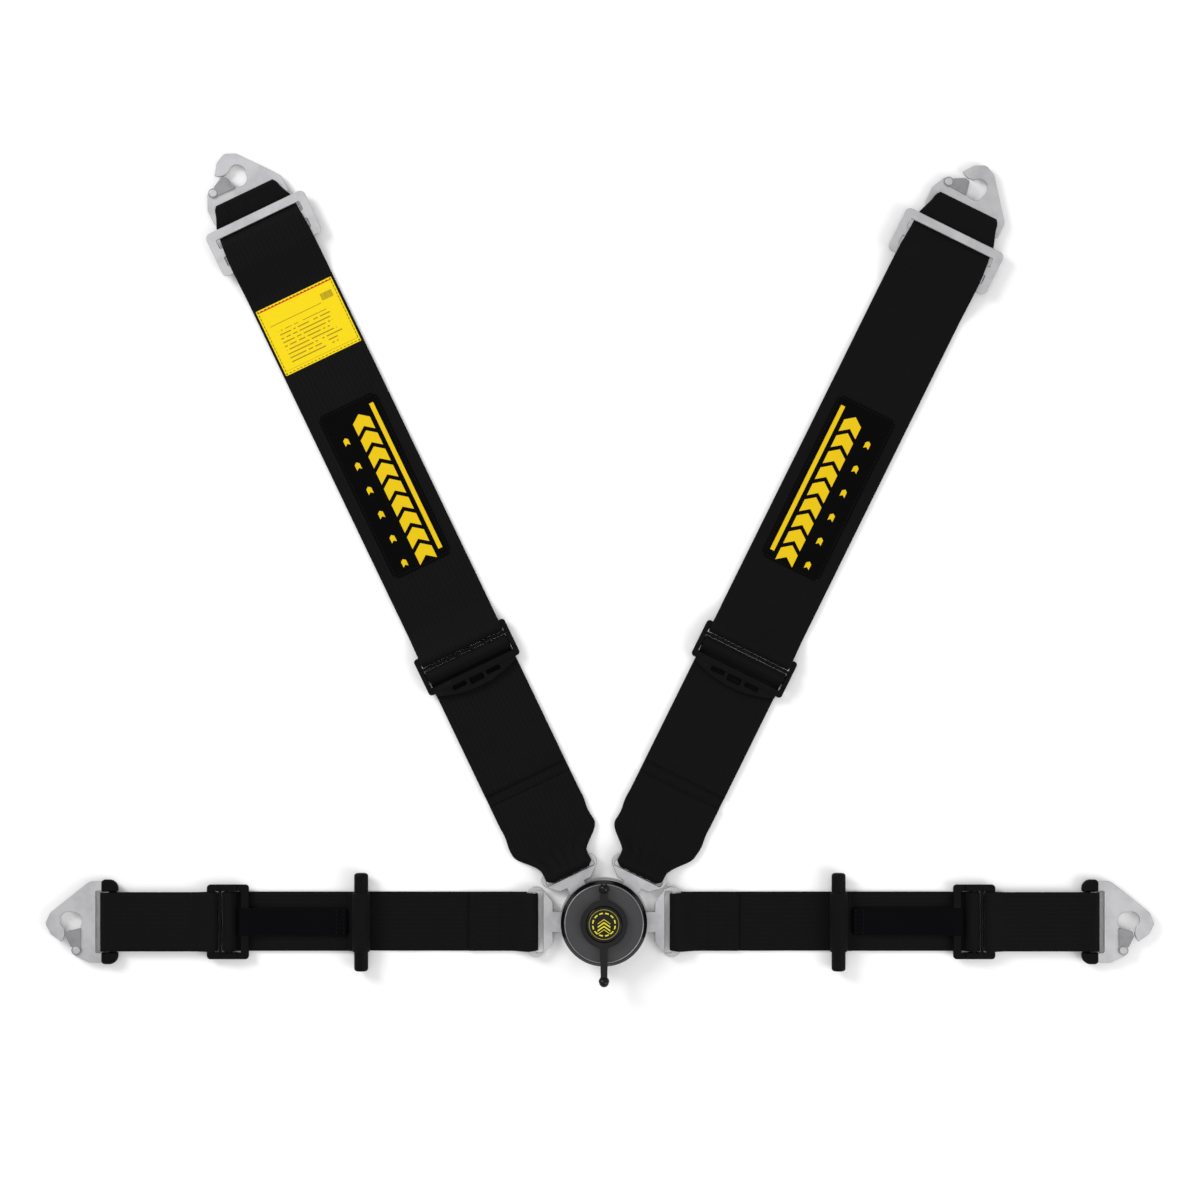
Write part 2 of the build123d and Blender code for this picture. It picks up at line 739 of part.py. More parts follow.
def hook_body():
    x, y = gate_pivot
    body = plate(hook_plate(), -hook_t / 2, hook_t)
    return body - Pos(x, y, 0) * Cylinder(gate_pin_r, hook_t * 2)


def gate():
    """Two cheeks either side of the hook joined by a strip across the mouth."""
    x, y = gate_pivot
    cheek_points = [(31.0, -5.4), (31.4, -22.0), (39.6, -21.0), (43.9, -12.6), (43.0, -8.2)]
    cheek_face = make_face(FilletPolyline(*cheek_points, radius=[1.2, 1.0, 1.0, 1.5, 1.5], close=True))
    cheek_face += Pos(x, y) * Circle(4.2)
    strip_points = [(39.9, -19.6), (43.4, -12.3), (42.0, -11.4), (38.5, -18.7)]
    strip = make_face(Polyline(*strip_points, close=True))
    half = hook_t / 2 + gate_clear
    body = extrude(Pos(0, 0, -half - 0.2) * strip, 2 * half + 0.4, dir=(0, 0, 1))
    for z in (half, -half - gate_plate):
        body += extrude(Pos(0, 0, z) * cheek_face, gate_plate, dir=(0, 0, 1))
    return body - Pos(x, y, 0) * Cylinder(gate_pin_r + running, 20)


def gate_rivet():
    x, y = gate_pivot
    half = hook_t / 2 + gate_clear + gate_plate + 0.1
    body = Cylinder(gate_pin_r, 2 * half)
    for s in (1, -1):
        head = Pos(0, 0, s * (half + 0.4)) * Cylinder(gate_pin_r + 1.3, 0.8)
        body += head
    outer = body.edges().filter_by(GeomType.CIRCLE).filter_by(lambda e: e.radius > gate_pin_r + 1)
    body = fillet(outer.group_by(Axis.Z)[-1] + outer.group_by(Axis.Z)[0], 0.5)
    return Pos(x, y, 0) * body


def hook_end_caps():
    """Two moulded caps over the ends of a lap hook's bar, either side of the strap."""
    inner = lap_web / 2 + 0.35
    outer = hook_half + 1.2
    rear, front = cap_span
    caps = []
    for s in (1, -1):
        corners = [(rear, s * inner), (front, s * inner), (front, s * outer), (rear, s * outer)]
        face = make_face(FilletPolyline(*corners, radius=[1.6, 1.6, 3.0, 7.5], close=True))
        cap = plate(face, -hook_t / 2 - cap_over, hook_t + 2 * cap_over, 1.2)
        caps.append(cap - extrude(Pos(0, 0, -hook_t / 2) * hook_plate(), hook_t, dir=(0, 0, 1)))
    return caps


# ---- writing -------------------------------------------------------------------------------------------
os.makedirs("parts", exist_ok=True)

write("buckle_back_plate", buckle_back_plate())
write("buckle_guide_block", buckle_guide_block())
write("buckle_housing", buckle_housing())
write("buckle_face", buckle_face())
write("base_screws", *base_screws())
write("fixed_tongue_pin", fixed_tongue_pin())
write("spindle", spindle())
write("spindle_circlip", spindle_circlip())
write("release_cam", release_cam())
write("pin_carrier", pin_carrier())
write("latch_pins", *latch_pins())
write("carrier_spring", carrier_spring())
write("release_lever", release_lever())
write("lever_cap", lever_cap())

hook_parts = {"hook": hook_body(), "gate": gate(), "gate_rivet": gate_rivet()}

for side in ("left", "right"):
    place = lap_place(side)
    lock_z = lock_height(lap_bar)
    name = f"lap_{side}_"
    write(name + "tongue", place * lap_tongue())
    write(name + "belt", place * lap_belt(side))
    write(name + "pull_bar", place * pull_bar(side))
    write(name + "adjuster", place * lap_adjuster(side))
    write(name + "locking_bar", place * locking_bar(lap_lock[side], lap_web, lock_z))
    write(name + "release_tab", place * release_tab(side))
    write(name + "anchor_strap", place * anchor_strap(side))
    flip = side == "left"
    for part_name, shape in hook_parts.items():
        write(name + part_name, place * place_hook(shape, lap_apex[side], bar_plane, flip))
    caps = [place * place_hook(cap, lap_apex[side], bar_plane, flip) for cap in hook_end_caps()]
    write(name + "hook_end_caps", *caps)

for side in ("left", "right"):
    place = shoulder_place(side)
    lock_z = lock_height(shoulder_bar)
    name = f"shoulder_{side}_"
    write(name + "tongue", place * shoulder_tongue())
    write(name + "belt", place * shoulder_belt())
    write(name + "adjuster", place * shoulder_adjuster())
    write(name + "locking_bar", place * locking_bar(shoulder_lock, shoulder_web, lock_z))
    write(name + "upper_strap", place * upper_strap(side))
    write(name + "slide", place * three_bar_slide(side))
    write(name + "patch", place * shoulder_patch())
    for part_name, shape in hook_parts.items():
        write(name + part_name, place * place_hook(shape, shoulder_apex[side], shoulder_hook_z, True))

write("shoulder_left_label", shoulder_place("left") * care_label())
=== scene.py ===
"""Looks of a four-point racing harness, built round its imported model: straps, stitches, finishes, stage."""

from __future__ import annotations

import json
import logging
import math
from dataclasses import dataclass
from enum import Enum
from typing import Callable, Iterable, Sequence

import bmesh
import bpy
from mathutils import Matrix, Vector

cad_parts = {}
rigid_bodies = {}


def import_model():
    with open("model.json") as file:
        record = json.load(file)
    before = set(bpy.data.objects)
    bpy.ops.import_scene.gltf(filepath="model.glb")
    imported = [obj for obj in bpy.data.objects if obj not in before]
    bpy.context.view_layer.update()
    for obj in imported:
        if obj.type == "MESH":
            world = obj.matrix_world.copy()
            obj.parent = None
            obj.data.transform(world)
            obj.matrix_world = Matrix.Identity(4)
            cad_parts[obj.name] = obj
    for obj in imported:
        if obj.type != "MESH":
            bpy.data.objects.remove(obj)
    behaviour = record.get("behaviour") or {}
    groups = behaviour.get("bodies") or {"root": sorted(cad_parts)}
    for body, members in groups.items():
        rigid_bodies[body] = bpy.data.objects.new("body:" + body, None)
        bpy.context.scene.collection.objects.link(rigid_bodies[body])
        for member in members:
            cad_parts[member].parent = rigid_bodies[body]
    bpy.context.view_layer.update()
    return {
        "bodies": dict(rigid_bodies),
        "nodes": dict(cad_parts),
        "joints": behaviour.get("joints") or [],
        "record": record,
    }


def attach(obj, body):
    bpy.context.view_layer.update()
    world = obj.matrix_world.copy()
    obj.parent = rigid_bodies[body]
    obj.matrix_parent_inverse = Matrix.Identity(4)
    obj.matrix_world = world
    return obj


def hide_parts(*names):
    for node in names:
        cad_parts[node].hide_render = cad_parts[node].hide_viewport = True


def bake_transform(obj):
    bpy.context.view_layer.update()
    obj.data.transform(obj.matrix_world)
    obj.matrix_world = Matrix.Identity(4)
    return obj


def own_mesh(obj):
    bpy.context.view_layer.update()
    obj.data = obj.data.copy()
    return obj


log = logging.getLogger("harness")
MM = 0.001
TURN = 2 * math.pi
MADE: dict[str, bpy.types.Material] = {}
Piece = bpy.types.Object


# ---------------------------------------------------------------------------------------------------------
# Node books: shader maths as expressions
# ---------------------------------------------------------------------------------------------------------
class Value:
    """A number socket that adds, multiplies and compares like a Python number."""

    def __init__(self, book: "NodeBook", socket: bpy.types.NodeSocket) -> None:
        """Wraps a socket of a book's tree."""
        self.book = book
        self.socket = socket

    def _math(self, operation: str, *values: "Value | float") -> "Value":
        """Adds one Math node on this value and others."""
        return self.book.number("ShaderNodeMath", {"operation": operation}, list(values))

    def __add__(self, other: "Value | float") -> "Value":
        """Sum."""
        return self._math("ADD", self, other)

    __radd__ = __add__

    def __sub__(self, other: "Value | float") -> "Value":
        """Difference."""
        return self._math("SUBTRACT", self, other)

    def __rsub__(self, other: float) -> "Value":
        """Difference from a number."""
        return self._math("SUBTRACT", other, self)

    def __mul__(self, other: "Value | float") -> "Value":
        """Product."""
        return self._math("MULTIPLY", self, other)

    __rmul__ = __mul__

    def __truediv__(self, other: "Value | float") -> "Value":
        """Quotient."""
        return self._math("DIVIDE", self, other)

    def __pow__(self, other: "Value | float") -> "Value":
        """Power."""
        return self._math("POWER", self, other)

    def __gt__(self, other: "Value | float") -> "Value":
        """One where greater, else zero."""
        return self._math("GREATER_THAN", self, other)

    def __lt__(self, other: "Value | float") -> "Value":
        """One where less, else zero."""
        return self._math("LESS_THAN", self, other)

    def sine(self) -> "Value":
        """Sine of a value in radians."""
        return self._math("SINE", self)

    def size(self) -> "Value":
        """Absolute value."""
        return self._math("ABSOLUTE", self)

    def part(self) -> "Value":
        """What is left over a whole number."""
        return self._math("FRACT", self)

    def zigzag(self, scale: float) -> "Value":
        """Triangle wave between 0 and a scale."""
        return self._math("PINGPONG", self, scale)

    def least(self, other: "Value | float") -> "Value":
        """The smaller of two."""
        return self._math("MINIMUM", self, other)

    def step(self, low: float, high: float) -> "Value":
        """A smooth step from 0 at low to 1 at high."""
        settings = {"interpolation_type": "SMOOTHSTEP"}
        return self.book.number("ShaderNodeMapRange", settings, [self, low, high, 0.0, 1.0])


Colour = tuple[float, float, float]


class NodeBook:
    """The node tree of one material, written as Python expressions."""

    def __init__(self, name: str) -> None:
        """Starts an empty material with a Principled surface."""
        self.material = bpy.data.materials.new(name)
        self.material.use_nodes = True
        self.tree = self.material.node_tree
        self.tree.nodes.clear()
        self.surface = self.tree.nodes.new("ShaderNodeBsdfPrincipled")
        output = self.tree.nodes.new("ShaderNodeOutputMaterial")
        self.tree.links.new(self.surface.outputs[0], output.inputs[0])

    def node(self, kind: str, settings: dict, inputs: "dict | list") -> bpy.types.Node:
        """Adds any node.

        Args:
            kind: the node's type.
            settings: its properties, set before its sockets.
            inputs: values or links, by place or by name.

        Returns:
            The new node.
        """
        made = self.tree.nodes.new(kind)
        for key, value in settings.items():
            if key == "stops":
                self._stops(made.color_ramp, value)
            else:
                setattr(made, key, value)
        places = inputs.items() if isinstance(inputs, dict) else enumerate(inputs)
        for place, value in places:
            self._feed(made.inputs[place], value)
        return made

    def _stops(self, ramp: bpy.types.ColorRamp, stops: Sequence[tuple[float, Colour]]) -> None:
        """Sets a colour ramp's stops."""
        while len(ramp.elements) < len(stops):
            ramp.elements.new(0.5)
        for element, (place, colour) in zip(ramp.elements, stops):
            element.position = place
            element.color = (*colour, 1.0)

    def _feed(self, socket: bpy.types.NodeSocket, value: object) -> None:
        """Links or sets one input."""
        if isinstance(value, Value):
            self.tree.links.new(value.socket, socket)
        elif isinstance(value, bpy.types.NodeSocket):
            self.tree.links.new(value, socket)
        elif isinstance(value, tuple) and len(value) == 3 and socket.type == "RGBA":
            socket.default_value = (*value, 1.0)
        elif value is not None:
            socket.default_value = value

    def number(self, kind: str, settings: dict, inputs: "dict | list", out: int | str = 0) -> Value:
        """Adds any node and gives one of its outputs as a number."""
        return Value(self, self.node(kind, settings, inputs).outputs[out])

    def place(self, source: str = "Object") -> bpy.types.NodeSocket:
        """The surface's own coordinates, or its UV map."""
        return self.node("ShaderNodeTexCoord", {}, []).outputs[source]

    def split(self, vector: bpy.types.NodeSocket) -> tuple[Value, Value, Value]:
        """The three parts of a vector."""
        made = self.node("ShaderNodeSeparateXYZ", {}, [vector])
        return Value(self, made.outputs[0]), Value(self, made.outputs[1]), Value(self, made.outputs[2])

    def noise(self, at: object, scale: float, detail: float = 3.0, rough: float = 0.5) -> Value:
        """Smooth noise from 0 to 1 about 0.5."""
        inputs = {"Vector": at, "Scale": scale, "Detail": detail, "Roughness": rough}
        return self.number("ShaderNodeTexNoise", {}, inputs, "Fac")

    def stretch(self, at: object, scale: tuple[float, ...], turn: float = 0.0) -> bpy.types.NodeSocket:
        """Coordinates turned about Z and scaled along each axis."""
        inputs = {"Vector": at, "Rotation": (0.0, 0.0, turn), "Scale": scale}
        return self.node("ShaderNodeMapping", {}, inputs).outputs[0]

    def mix(self, share: Value | float, first: object, second: object) -> bpy.types.NodeSocket:
        """A colour between two."""
        made = self.node("ShaderNodeMix", {"data_type": "RGBA"}, {})
        self._feed(made.inputs[0], share)
        self._feed(made.inputs[6], first)
        self._feed(made.inputs[7], second)
        return made.outputs[2]

    def bump(self, height: Value, depth: float, strength: float = 1.0) -> None:
        """Feeds a height into the surface's normal; depth is in metres."""
        made = self.node("ShaderNodeBump", {}, {"Height": height, "Strength": strength, "Distance": depth})
        self.tree.links.new(made.outputs[0], self.surface.inputs["Normal"])

    def set(self, **sockets: object) -> None:
        """Sets or links the surface's own sockets, spaces written as underscores."""
        for name, value in sockets.items():
            self._feed(self.surface.inputs[name.replace("_", " ")], value)


# ---------------------------------------------------------------------------------------------------------
# Finishes
# ---------------------------------------------------------------------------------------------------------
@dataclass(frozen=True)
class Finish:
    """A named surface that can make its material once."""

    name: str

    def make(self) -> bpy.types.Material:
        """The finish's material, made on first use."""
        if self.name not in MADE:
            MADE[self.name] = self.write(NodeBook(self.name))
        return MADE[self.name]

    def write(self, book: NodeBook) -> bpy.types.Material:
        """Fills a book; each finish has its own."""
        raise NotImplementedError


@dataclass(frozen=True)
class Webbing(Finish):
    """Woven polyester strap: twill ribs along the strap that zigzag across it, and loose yarn.

    The UV map holds the place across and along the strap, in metres.
    """

    colour: Colour = (0.0012, 0.0012, 0.0012)
    # the lighter colour: painted highlight on the rib tops, mixed with soft dust and fuzz
    thread: Colour = (0.0036, 0.0036, 0.0037)
    rib: float = 1.9 * MM
    yarn: float = 1.15 * MM
    depth: float = 0.16 * MM
    rough: float = 0.6
    shine: float = 0.07

    def write(self, book: NodeBook) -> bpy.types.Material:
        """Weave in height, and in colour as painted light: rib tops painted lighter as a painted highlight
        and the valleys painted darker as painted shade, with soft dust; the ribs are also a little less
        rough, for shine along them.
        """
        across, along, _ = book.split(book.place("UV"))
        columns = (across / self.rib).zigzag(1.0)
        rows = ((along / self.yarn + columns) * TURN).sine() * 0.5 + 0.5
        # valley dims the rib edges: painted shade in colour, lower relief in the bump
        valley = (1 - columns * 2).size() ** 3
        weave = rows * (1 - valley * 0.65)
        at = book.place()
        blotch = book.noise(at, 38.0, 4.0, 0.6)
        fuzz = book.noise(book.place("UV"), 2600.0, 2.0, 0.7)
        # shade mixes the ribs' painted light (lit tops, shaded valleys) with fuzz and dust
        shade = (weave * 0.55 + fuzz * 0.35 + blotch * 0.45).least(1.0)
        book.set(
            Base_Color=book.mix(shade, self.colour, self.thread),
            Roughness=self.rough + fuzz * 0.16 - weave * 0.07,
            Sheen_Weight=0.02,
            Sheen_Roughness=0.45,
            Specular_IOR_Level=self.shine,
        )
        book.bump(weave * 0.9 + fuzz * 0.25, self.depth)
        return book.material


@dataclass(frozen=True)
class Steel(Finish):
    """Zinc-plated pressed steel with fine tumbling marks and dulled patches."""

    colour: Colour = (0.52, 0.52, 0.53)
    dull: Colour = (0.37, 0.37, 0.38)
    rough: float = 0.34
    metal: float = 0.86

    def write(self, book: NodeBook) -> bpy.types.Material:
        """Cloudy plating, fine scratches and a grain in the normal."""
        at = book.place()
        cloud = book.noise(at, 55.0, 5.0, 0.6)
        grain = book.noise(book.stretch(at, (1.0, 9.0, 1.0), 0.5), 420.0, 3.0, 0.6)
        pit = book.noise(at, 1500.0, 2.0, 0.5)
        book.set(
            Base_Color=book.mix(cloud.step(0.35, 0.7) * 0.6 + grain * 0.25, self.colour, self.dull),
            Metallic=self.metal,
            Roughness=self.rough + cloud * 0.14 + grain * 0.08,
        )
        book.bump(grain * 0.5 + pit * 0.5, 0.02 * MM)
        return book.material


@dataclass(frozen=True)
class Paint(Finish):
    """Black paint or powder coat with an orange-peel skin and rubbed places."""

    colour: Colour = (0.004, 0.004, 0.0045)
    rubbed: Colour = (0.02, 0.02, 0.021)
    rough: float = 0.22
    peel: float = 900.0
    depth: float = 0.02 * MM
    coat: float = 0.1
    shine: float = 0.2

    def write(self, book: NodeBook) -> bpy.types.Material:
        """Skin texture in the normal, faint rubbing in colour and roughness."""
        at = book.place()
        skin = book.noise(at, self.peel, 2.0, 0.5)
        wear = book.noise(at, 70.0, 5.0, 0.65).step(0.52, 0.8)
        line = book.noise(book.stretch(at, (14.0, 1.0, 1.0), 0.7), 160.0, 3.0, 0.6).step(0.6, 0.8)
        book.set(
            Base_Color=book.mix(wear * 0.6 + line * 0.2, self.colour, self.rubbed),
            Roughness=self.rough + wear * 0.16 + line * 0.06 + skin * 0.05,
            Coat_Weight=self.coat,
            Coat_Roughness=0.12,
            Specular_IOR_Level=self.shine,
        )
        book.bump(skin, self.depth)
        return book.material


@dataclass(frozen=True)
class Turned(Finish):
    """Satin dark face with fine lathe rings about the spindle."""

    colour: Colour = (0.028, 0.028, 0.03)
    light: Colour = (0.05, 0.05, 0.053)
    pitch: float = 0.35 * MM

    def write(self, book: NodeBook) -> bpy.types.Material:
        """Rings in the normal and a speckle in colour."""
        at = book.place()
        x, y, _ = book.split(at)
        radius = (x * x + y * y) ** 0.5
        rings = (radius / self.pitch * TURN).sine() * 0.5 + 0.5
        speck = book.noise(at, 900.0, 3.0, 0.7)
        cloud = book.noise(at, 40.0, 3.0, 0.5)
        book.set(
            Base_Color=book.mix(speck * 0.5 + cloud * 0.5, self.colour, self.light),
            Roughness=0.36 + speck * 0.12 + cloud * 0.06,
            Coat_Weight=0.1,
            Coat_Roughness=0.3,
            Specular_IOR_Level=0.25,
        )
        book.bump(rings * 0.4 + speck * 0.6, 0.012 * MM)
        return book.material


@dataclass(frozen=True)
class Emblem(Finish):
    """Gloss black cap with a printed yellow ring and three chevrons.

    rows is the chevrons' spacing and reach their half width; the print lies above the height top.
    """

    ink: Colour = (0.72, 0.62, 0.02)
    base: Colour = (0.003, 0.003, 0.003)
    ring: float = 9.6 * MM
    line: float = 0.55 * MM
    rows: float = 3.1 * MM
    reach: float = 5.4 * MM
    border: float = 12.6 * MM
    hairline: float = 0.2 * MM
    top: float = 26.8 * MM

    def write(self, book: NodeBook) -> bpy.types.Material:
        """Masks drawn from the distance to the spindle."""
        at = book.place()
        x, y, z = book.split(at)
        radius = (x * x + y * y) ** 0.5
        around = book.number("ShaderNodeMath", {"operation": "ARCTAN2"}, [y, x])
        gaps = ((around * (12 / TURN)).part() - 0.5).size() < 0.32
        ring = ((radius - self.ring).size() < self.line) * gaps
        fold = (y + x.size() * 0.7) / self.rows
        bars = ((fold.part() - 0.5).size() < 0.21) * (x.size() < self.reach) * (fold.size() < 1.5)
        edge = ((radius - self.border).size() < self.hairline) * 0.5
        mask = (ring + bars + edge).least(1.0) * (z > self.top)
        haze = book.noise(at, 120.0, 3.0, 0.5)
        book.set(
            Base_Color=book.mix(mask, self.base, self.ink),
            Roughness=0.14 + haze * 0.1,
            Coat_Weight=0.1,
            Coat_Roughness=0.05,
            Specular_IOR_Level=0.16,
        )
        book.bump(mask, 0.03 * MM)
        return book.material


@dataclass(frozen=True)
class LabelPrint(Finish):
    """Yellow woven label with a border, a red hairline and rows of plain ruled strokes.

    The UV map runs from 0 to 1 over the label, across and then along.
    """

    yellow: Colour = (0.82, 0.62, 0.004)
    ink: Colour = (0.16, 0.09, 0.01)
    red: Colour = (0.6, 0.04, 0.01)
    width: float = 71.5 * MM
    length: float = 61.0 * MM
    pitch: float = 0.5 * MM

    def write(self, book: NodeBook) -> bpy.types.Material:
        """Strokes of uneven length stand for print; the weave shows through."""
        u, v, _ = book.split(book.place("UV"))
        row = v * 17.0
        number = row - row.part()
        jitter = book.number("ShaderNodeTexWhiteNoise", {"noise_dimensions": "1D"}, {"W": number}, "Value")
        body = (v > 0.1) * (v < 0.62)
        letters = u * 34.0
        cell = book.node("ShaderNodeCombineXYZ", {}, [letters - letters.part(), number, 0.0]).outputs[0]
        word = book.number("ShaderNodeTexWhiteNoise", {"noise_dimensions": "2D"}, {"Vector": cell}, "Value")
        stroke = ((row.part() - 0.5).size() < 0.14) * (word > 0.2) * body
        stroke = stroke * (u < 0.86) * (u > 0.12 + jitter * 0.14)
        title = ((v - 0.72).size() < 0.006) * (u > 0.24) * (u < 0.92)
        frame = ((u - 0.5).size() > 0.475) * ((u - 0.5).size() < 0.481) * (v < 0.95) * (v > 0.05)
        frame = (frame + ((v - 0.06).size() < 0.004) * ((u - 0.5).size() < 0.478)).least(1.0)
        hatch = ((u * 60.0 + v * 30.0).part() - 0.5).size() > 0.16
        block = ((v - 0.79).size() < 0.05) * ((u - 0.14).size() < 0.075) * hatch
        hair = ((v - 0.965).size() < 0.008) * ((u - 0.5).size() < 0.48)
        weft = (u * (self.width / self.pitch) * TURN).sine()
        warp = (v * (self.length / self.pitch) * TURN).sine()
        threads = (weft + warp) * 0.25 + 0.5
        stain = book.noise(book.place(), 60.0, 4.0, 0.6)
        base = book.mix(stain * 0.22 + threads * 0.1, self.yellow, (0.68, 0.46, 0.003))
        printed = (stroke * 0.75 + title * 0.6 + frame * 0.5 + block * 0.8).least(1.0)
        inked = book.mix(printed, base, self.ink)
        book.set(
            Base_Color=book.mix(hair, inked, self.red),
            Roughness=0.5 + threads * 0.14,
            Sheen_Weight=0.02,
            Specular_IOR_Level=0.12,
        )
        book.bump(threads, 0.06 * MM)
        return book.material


@dataclass(frozen=True)
class Ink(Finish):
    """Thick screen print or embroidery in one colour."""

    colour: Colour = (0.76, 0.53, 0.003)
    dark: Colour = (0.62, 0.4, 0.002)
    rough: float = 0.48
    shine: float = 0.12

    def write(self, book: NodeBook) -> bpy.types.Material:
        """Fine threads laid across, with a cloudy shade."""
        at = book.place()
        cloud = book.noise(at, 90.0, 4.0, 0.6)
        thread = book.noise(book.stretch(at, (1.0, 6.0, 1.0), 0.45), 900.0, 2.0, 0.6)
        book.set(
            Base_Color=book.mix(cloud * 0.4 + thread * 0.4, self.colour, self.dark),
            Roughness=self.rough + thread * 0.15,
            Specular_IOR_Level=self.shine,
        )
        book.bump(thread, 0.05 * MM)
        return book.material


@dataclass(frozen=True)
class Moulded(Finish):
    """Matte moulded black with a fine spark texture."""

    colour: Colour = (0.0012, 0.0012, 0.0013)
    scuffed: Colour = (0.006, 0.006, 0.0062)
    rough: float = 0.5

    def write(self, book: NodeBook) -> bpy.types.Material:
        """Spark texture in the normal, scuffs in colour."""
        at = book.place()
        spark = book.noise(at, 1300.0, 2.0, 0.6)
        scuff = book.noise(at, 85.0, 5.0, 0.7).step(0.5, 0.78)
        book.set(
            Base_Color=book.mix(scuff * 0.6, self.colour, self.scuffed),
            Roughness=self.rough + spark * 0.15 - scuff * 0.08,
            Specular_IOR_Level=0.08,
        )
        book.bump(spark, 0.035 * MM)
        return book.material


@dataclass(frozen=True)
class Floor(Finish):
    """Plain pale studio floor."""

    colour: Colour = (0.93, 0.93, 0.93)

    def write(self, book: NodeBook) -> bpy.types.Material:
        """An even matte surface with a trace of tone."""
        tone = book.noise(book.place(), 1.2, 2.0, 0.5)
        book.set(Base_Color=book.mix(tone * 0.1, self.colour, (0.9, 0.9, 0.9)), Roughness=0.9)
        book.set(Specular_IOR_Level=0.1)
        return book.material


class Finishes(Enum):
    """Every finish of the harness."""

    # Webbing finishes paint a rib-top highlight and valley shade into their colour; the second colour is the
    # painted highlight's
    WEBBING = Webbing("strap_webbing")
    TAB = Webbing(
        "tab_weave",
        (0.0009, 0.0009, 0.0015),
        (0.0018, 0.0018, 0.0029),
        1.3 * MM,
        0.9 * MM,
        0.14 * MM,
        0.6,
        0.03,
    )
    PATCH = Webbing(
        "patch_cloth",
        (0.0008, 0.0008, 0.0008),
        (0.0024, 0.0024, 0.0024),
        0.7 * MM,
        0.5 * MM,
        0.05 * MM,
        0.6,
        0.02,
    )
    THREAD = Ink("sewing_thread", (0.009, 0.009, 0.0095), (0.004, 0.004, 0.0045), 0.55, 0.08)
    PRINT = Ink("yellow_print")
    LABEL = LabelPrint("label_print")
    STEEL = Steel("plated_steel")
    GATE = Steel("gate_plating", (0.3, 0.3, 0.31), (0.2, 0.2, 0.21), 0.42)
    INNER = Steel("machined_steel", (0.5, 0.5, 0.51), (0.4, 0.4, 0.41), 0.3, 1.0)
    ALLOY = Steel("cast_alloy", (0.3, 0.3, 0.31), (0.22, 0.22, 0.23), 0.45)
    # bright steel for the bezel bead, a painted highlight standing in for the glint on the bezel's edge
    HIGHLIGHT_BEAD = Steel("bezel_highlight_bead", (0.34, 0.34, 0.35), (0.2, 0.2, 0.21), 0.25)
    GLOSS = Paint(
        "gloss_black", (0.002, 0.002, 0.0022), (0.008, 0.008, 0.0085), 0.12, 700.0, 0.006 * MM, 0.12, 0.16
    )
    COAT = Paint(
        "powder_black", (0.001, 0.001, 0.0011), (0.006, 0.006, 0.0063), 0.34, 1200.0, 0.03 * MM, 0.0, 0.08
    )
    FACE = Turned("buckle_face")
    EMBLEM = Emblem("cap_print")
    ROD = Moulded("rod_grip")
    FLOOR = Floor("floor")

    def make(self) -> bpy.types.Material:
        """The material."""
        return self.value.make()


# ---------------------------------------------------------------------------------------------------------
# Meshes
# ---------------------------------------------------------------------------------------------------------
@dataclass(frozen=True)
class Stop:
    """One point of a strap's centre line, in the arm's frame."""

    x: float
    z: float
    heading: float
    run: float


Bend = tuple[float, float, float]


def route(bends: Sequence[Bend], pace: float = 3.2, turn: float = 0.2) -> list[Stop]:
    """Points along a line that runs tangent from bend to bend.

    Args:
        bends: (x, z, radius) in millimetres; a positive radius turns upward, 0 is an end.
        pace: the longest straight step, in millimetres.
        turn: the largest change of heading in one step, in radians.

    Returns:
        The points in order, in millimetres, with the length run so far.
    """
    legs = []
    for (x1, z1, r1), (x2, z2, r2) in zip(bends, bends[1:]):
        heading = math.atan2(z2 - z1, x2 - x1) - math.asin((r2 - r1) / math.hypot(x2 - x1, z2 - z1))
        left = Vector((-math.sin(heading), math.cos(heading)))
        legs.append((Vector((x1, z1)) - left * r1, Vector((x2, z2)) - left * r2, heading))
    stops: list[Stop] = []
    run = 0.0
    for i, (start, end, heading) in enumerate(legs):
        length = (end - start).length
        steps = max(1, math.ceil(length / pace))
        for k in range(steps):
            at = start.lerp(end, k / steps)
            stops.append(Stop(at.x, at.y, heading, run + length * k / steps))
        run += length
        if i + 1 == len(legs):
            stops.append(Stop(end.x, end.y, heading, run))
            break
        x, z, radius = bends[i + 1]
        sweep = (legs[i + 1][2] - heading + 1e-9) % TURN - 1e-9
        if radius < 0 and sweep > 1e-6:
            sweep -= TURN
        steps = max(1, math.ceil(abs(sweep) / turn))
        for k in range(steps):
            angle = heading + sweep * k / steps
            place = Vector((x, z)) - Vector((-math.sin(angle), math.cos(angle))) * radius
            if k or abs(sweep) > 1e-6:
                stops.append(Stop(place.x, place.y, angle, run + abs(radius * sweep) * k / steps))
        run += abs(radius * sweep)
    kept = [stops[0]]
    for stop in stops[1:]:
        if math.hypot(stop.x - kept[-1].x, stop.z - kept[-1].z) > 0.02:
            kept.append(stop)
    return kept


def mesh_object(name: str, bm: bmesh.types.BMesh, finish: Finishes, smooth: bool = True) -> Piece:
    """Turns a bmesh into an object at the origin with one finish."""
    mesh = bpy.data.meshes.new(name)
    bmesh.ops.recalc_face_normals(bm, faces=bm.faces)
    for face in bm.faces:
        face.smooth = smooth
    bm.to_mesh(mesh)
    bm.free()
    made = bpy.data.objects.new(name, mesh)
    bpy.context.scene.collection.objects.link(made)
    mesh.materials.append(finish.make())
    return made


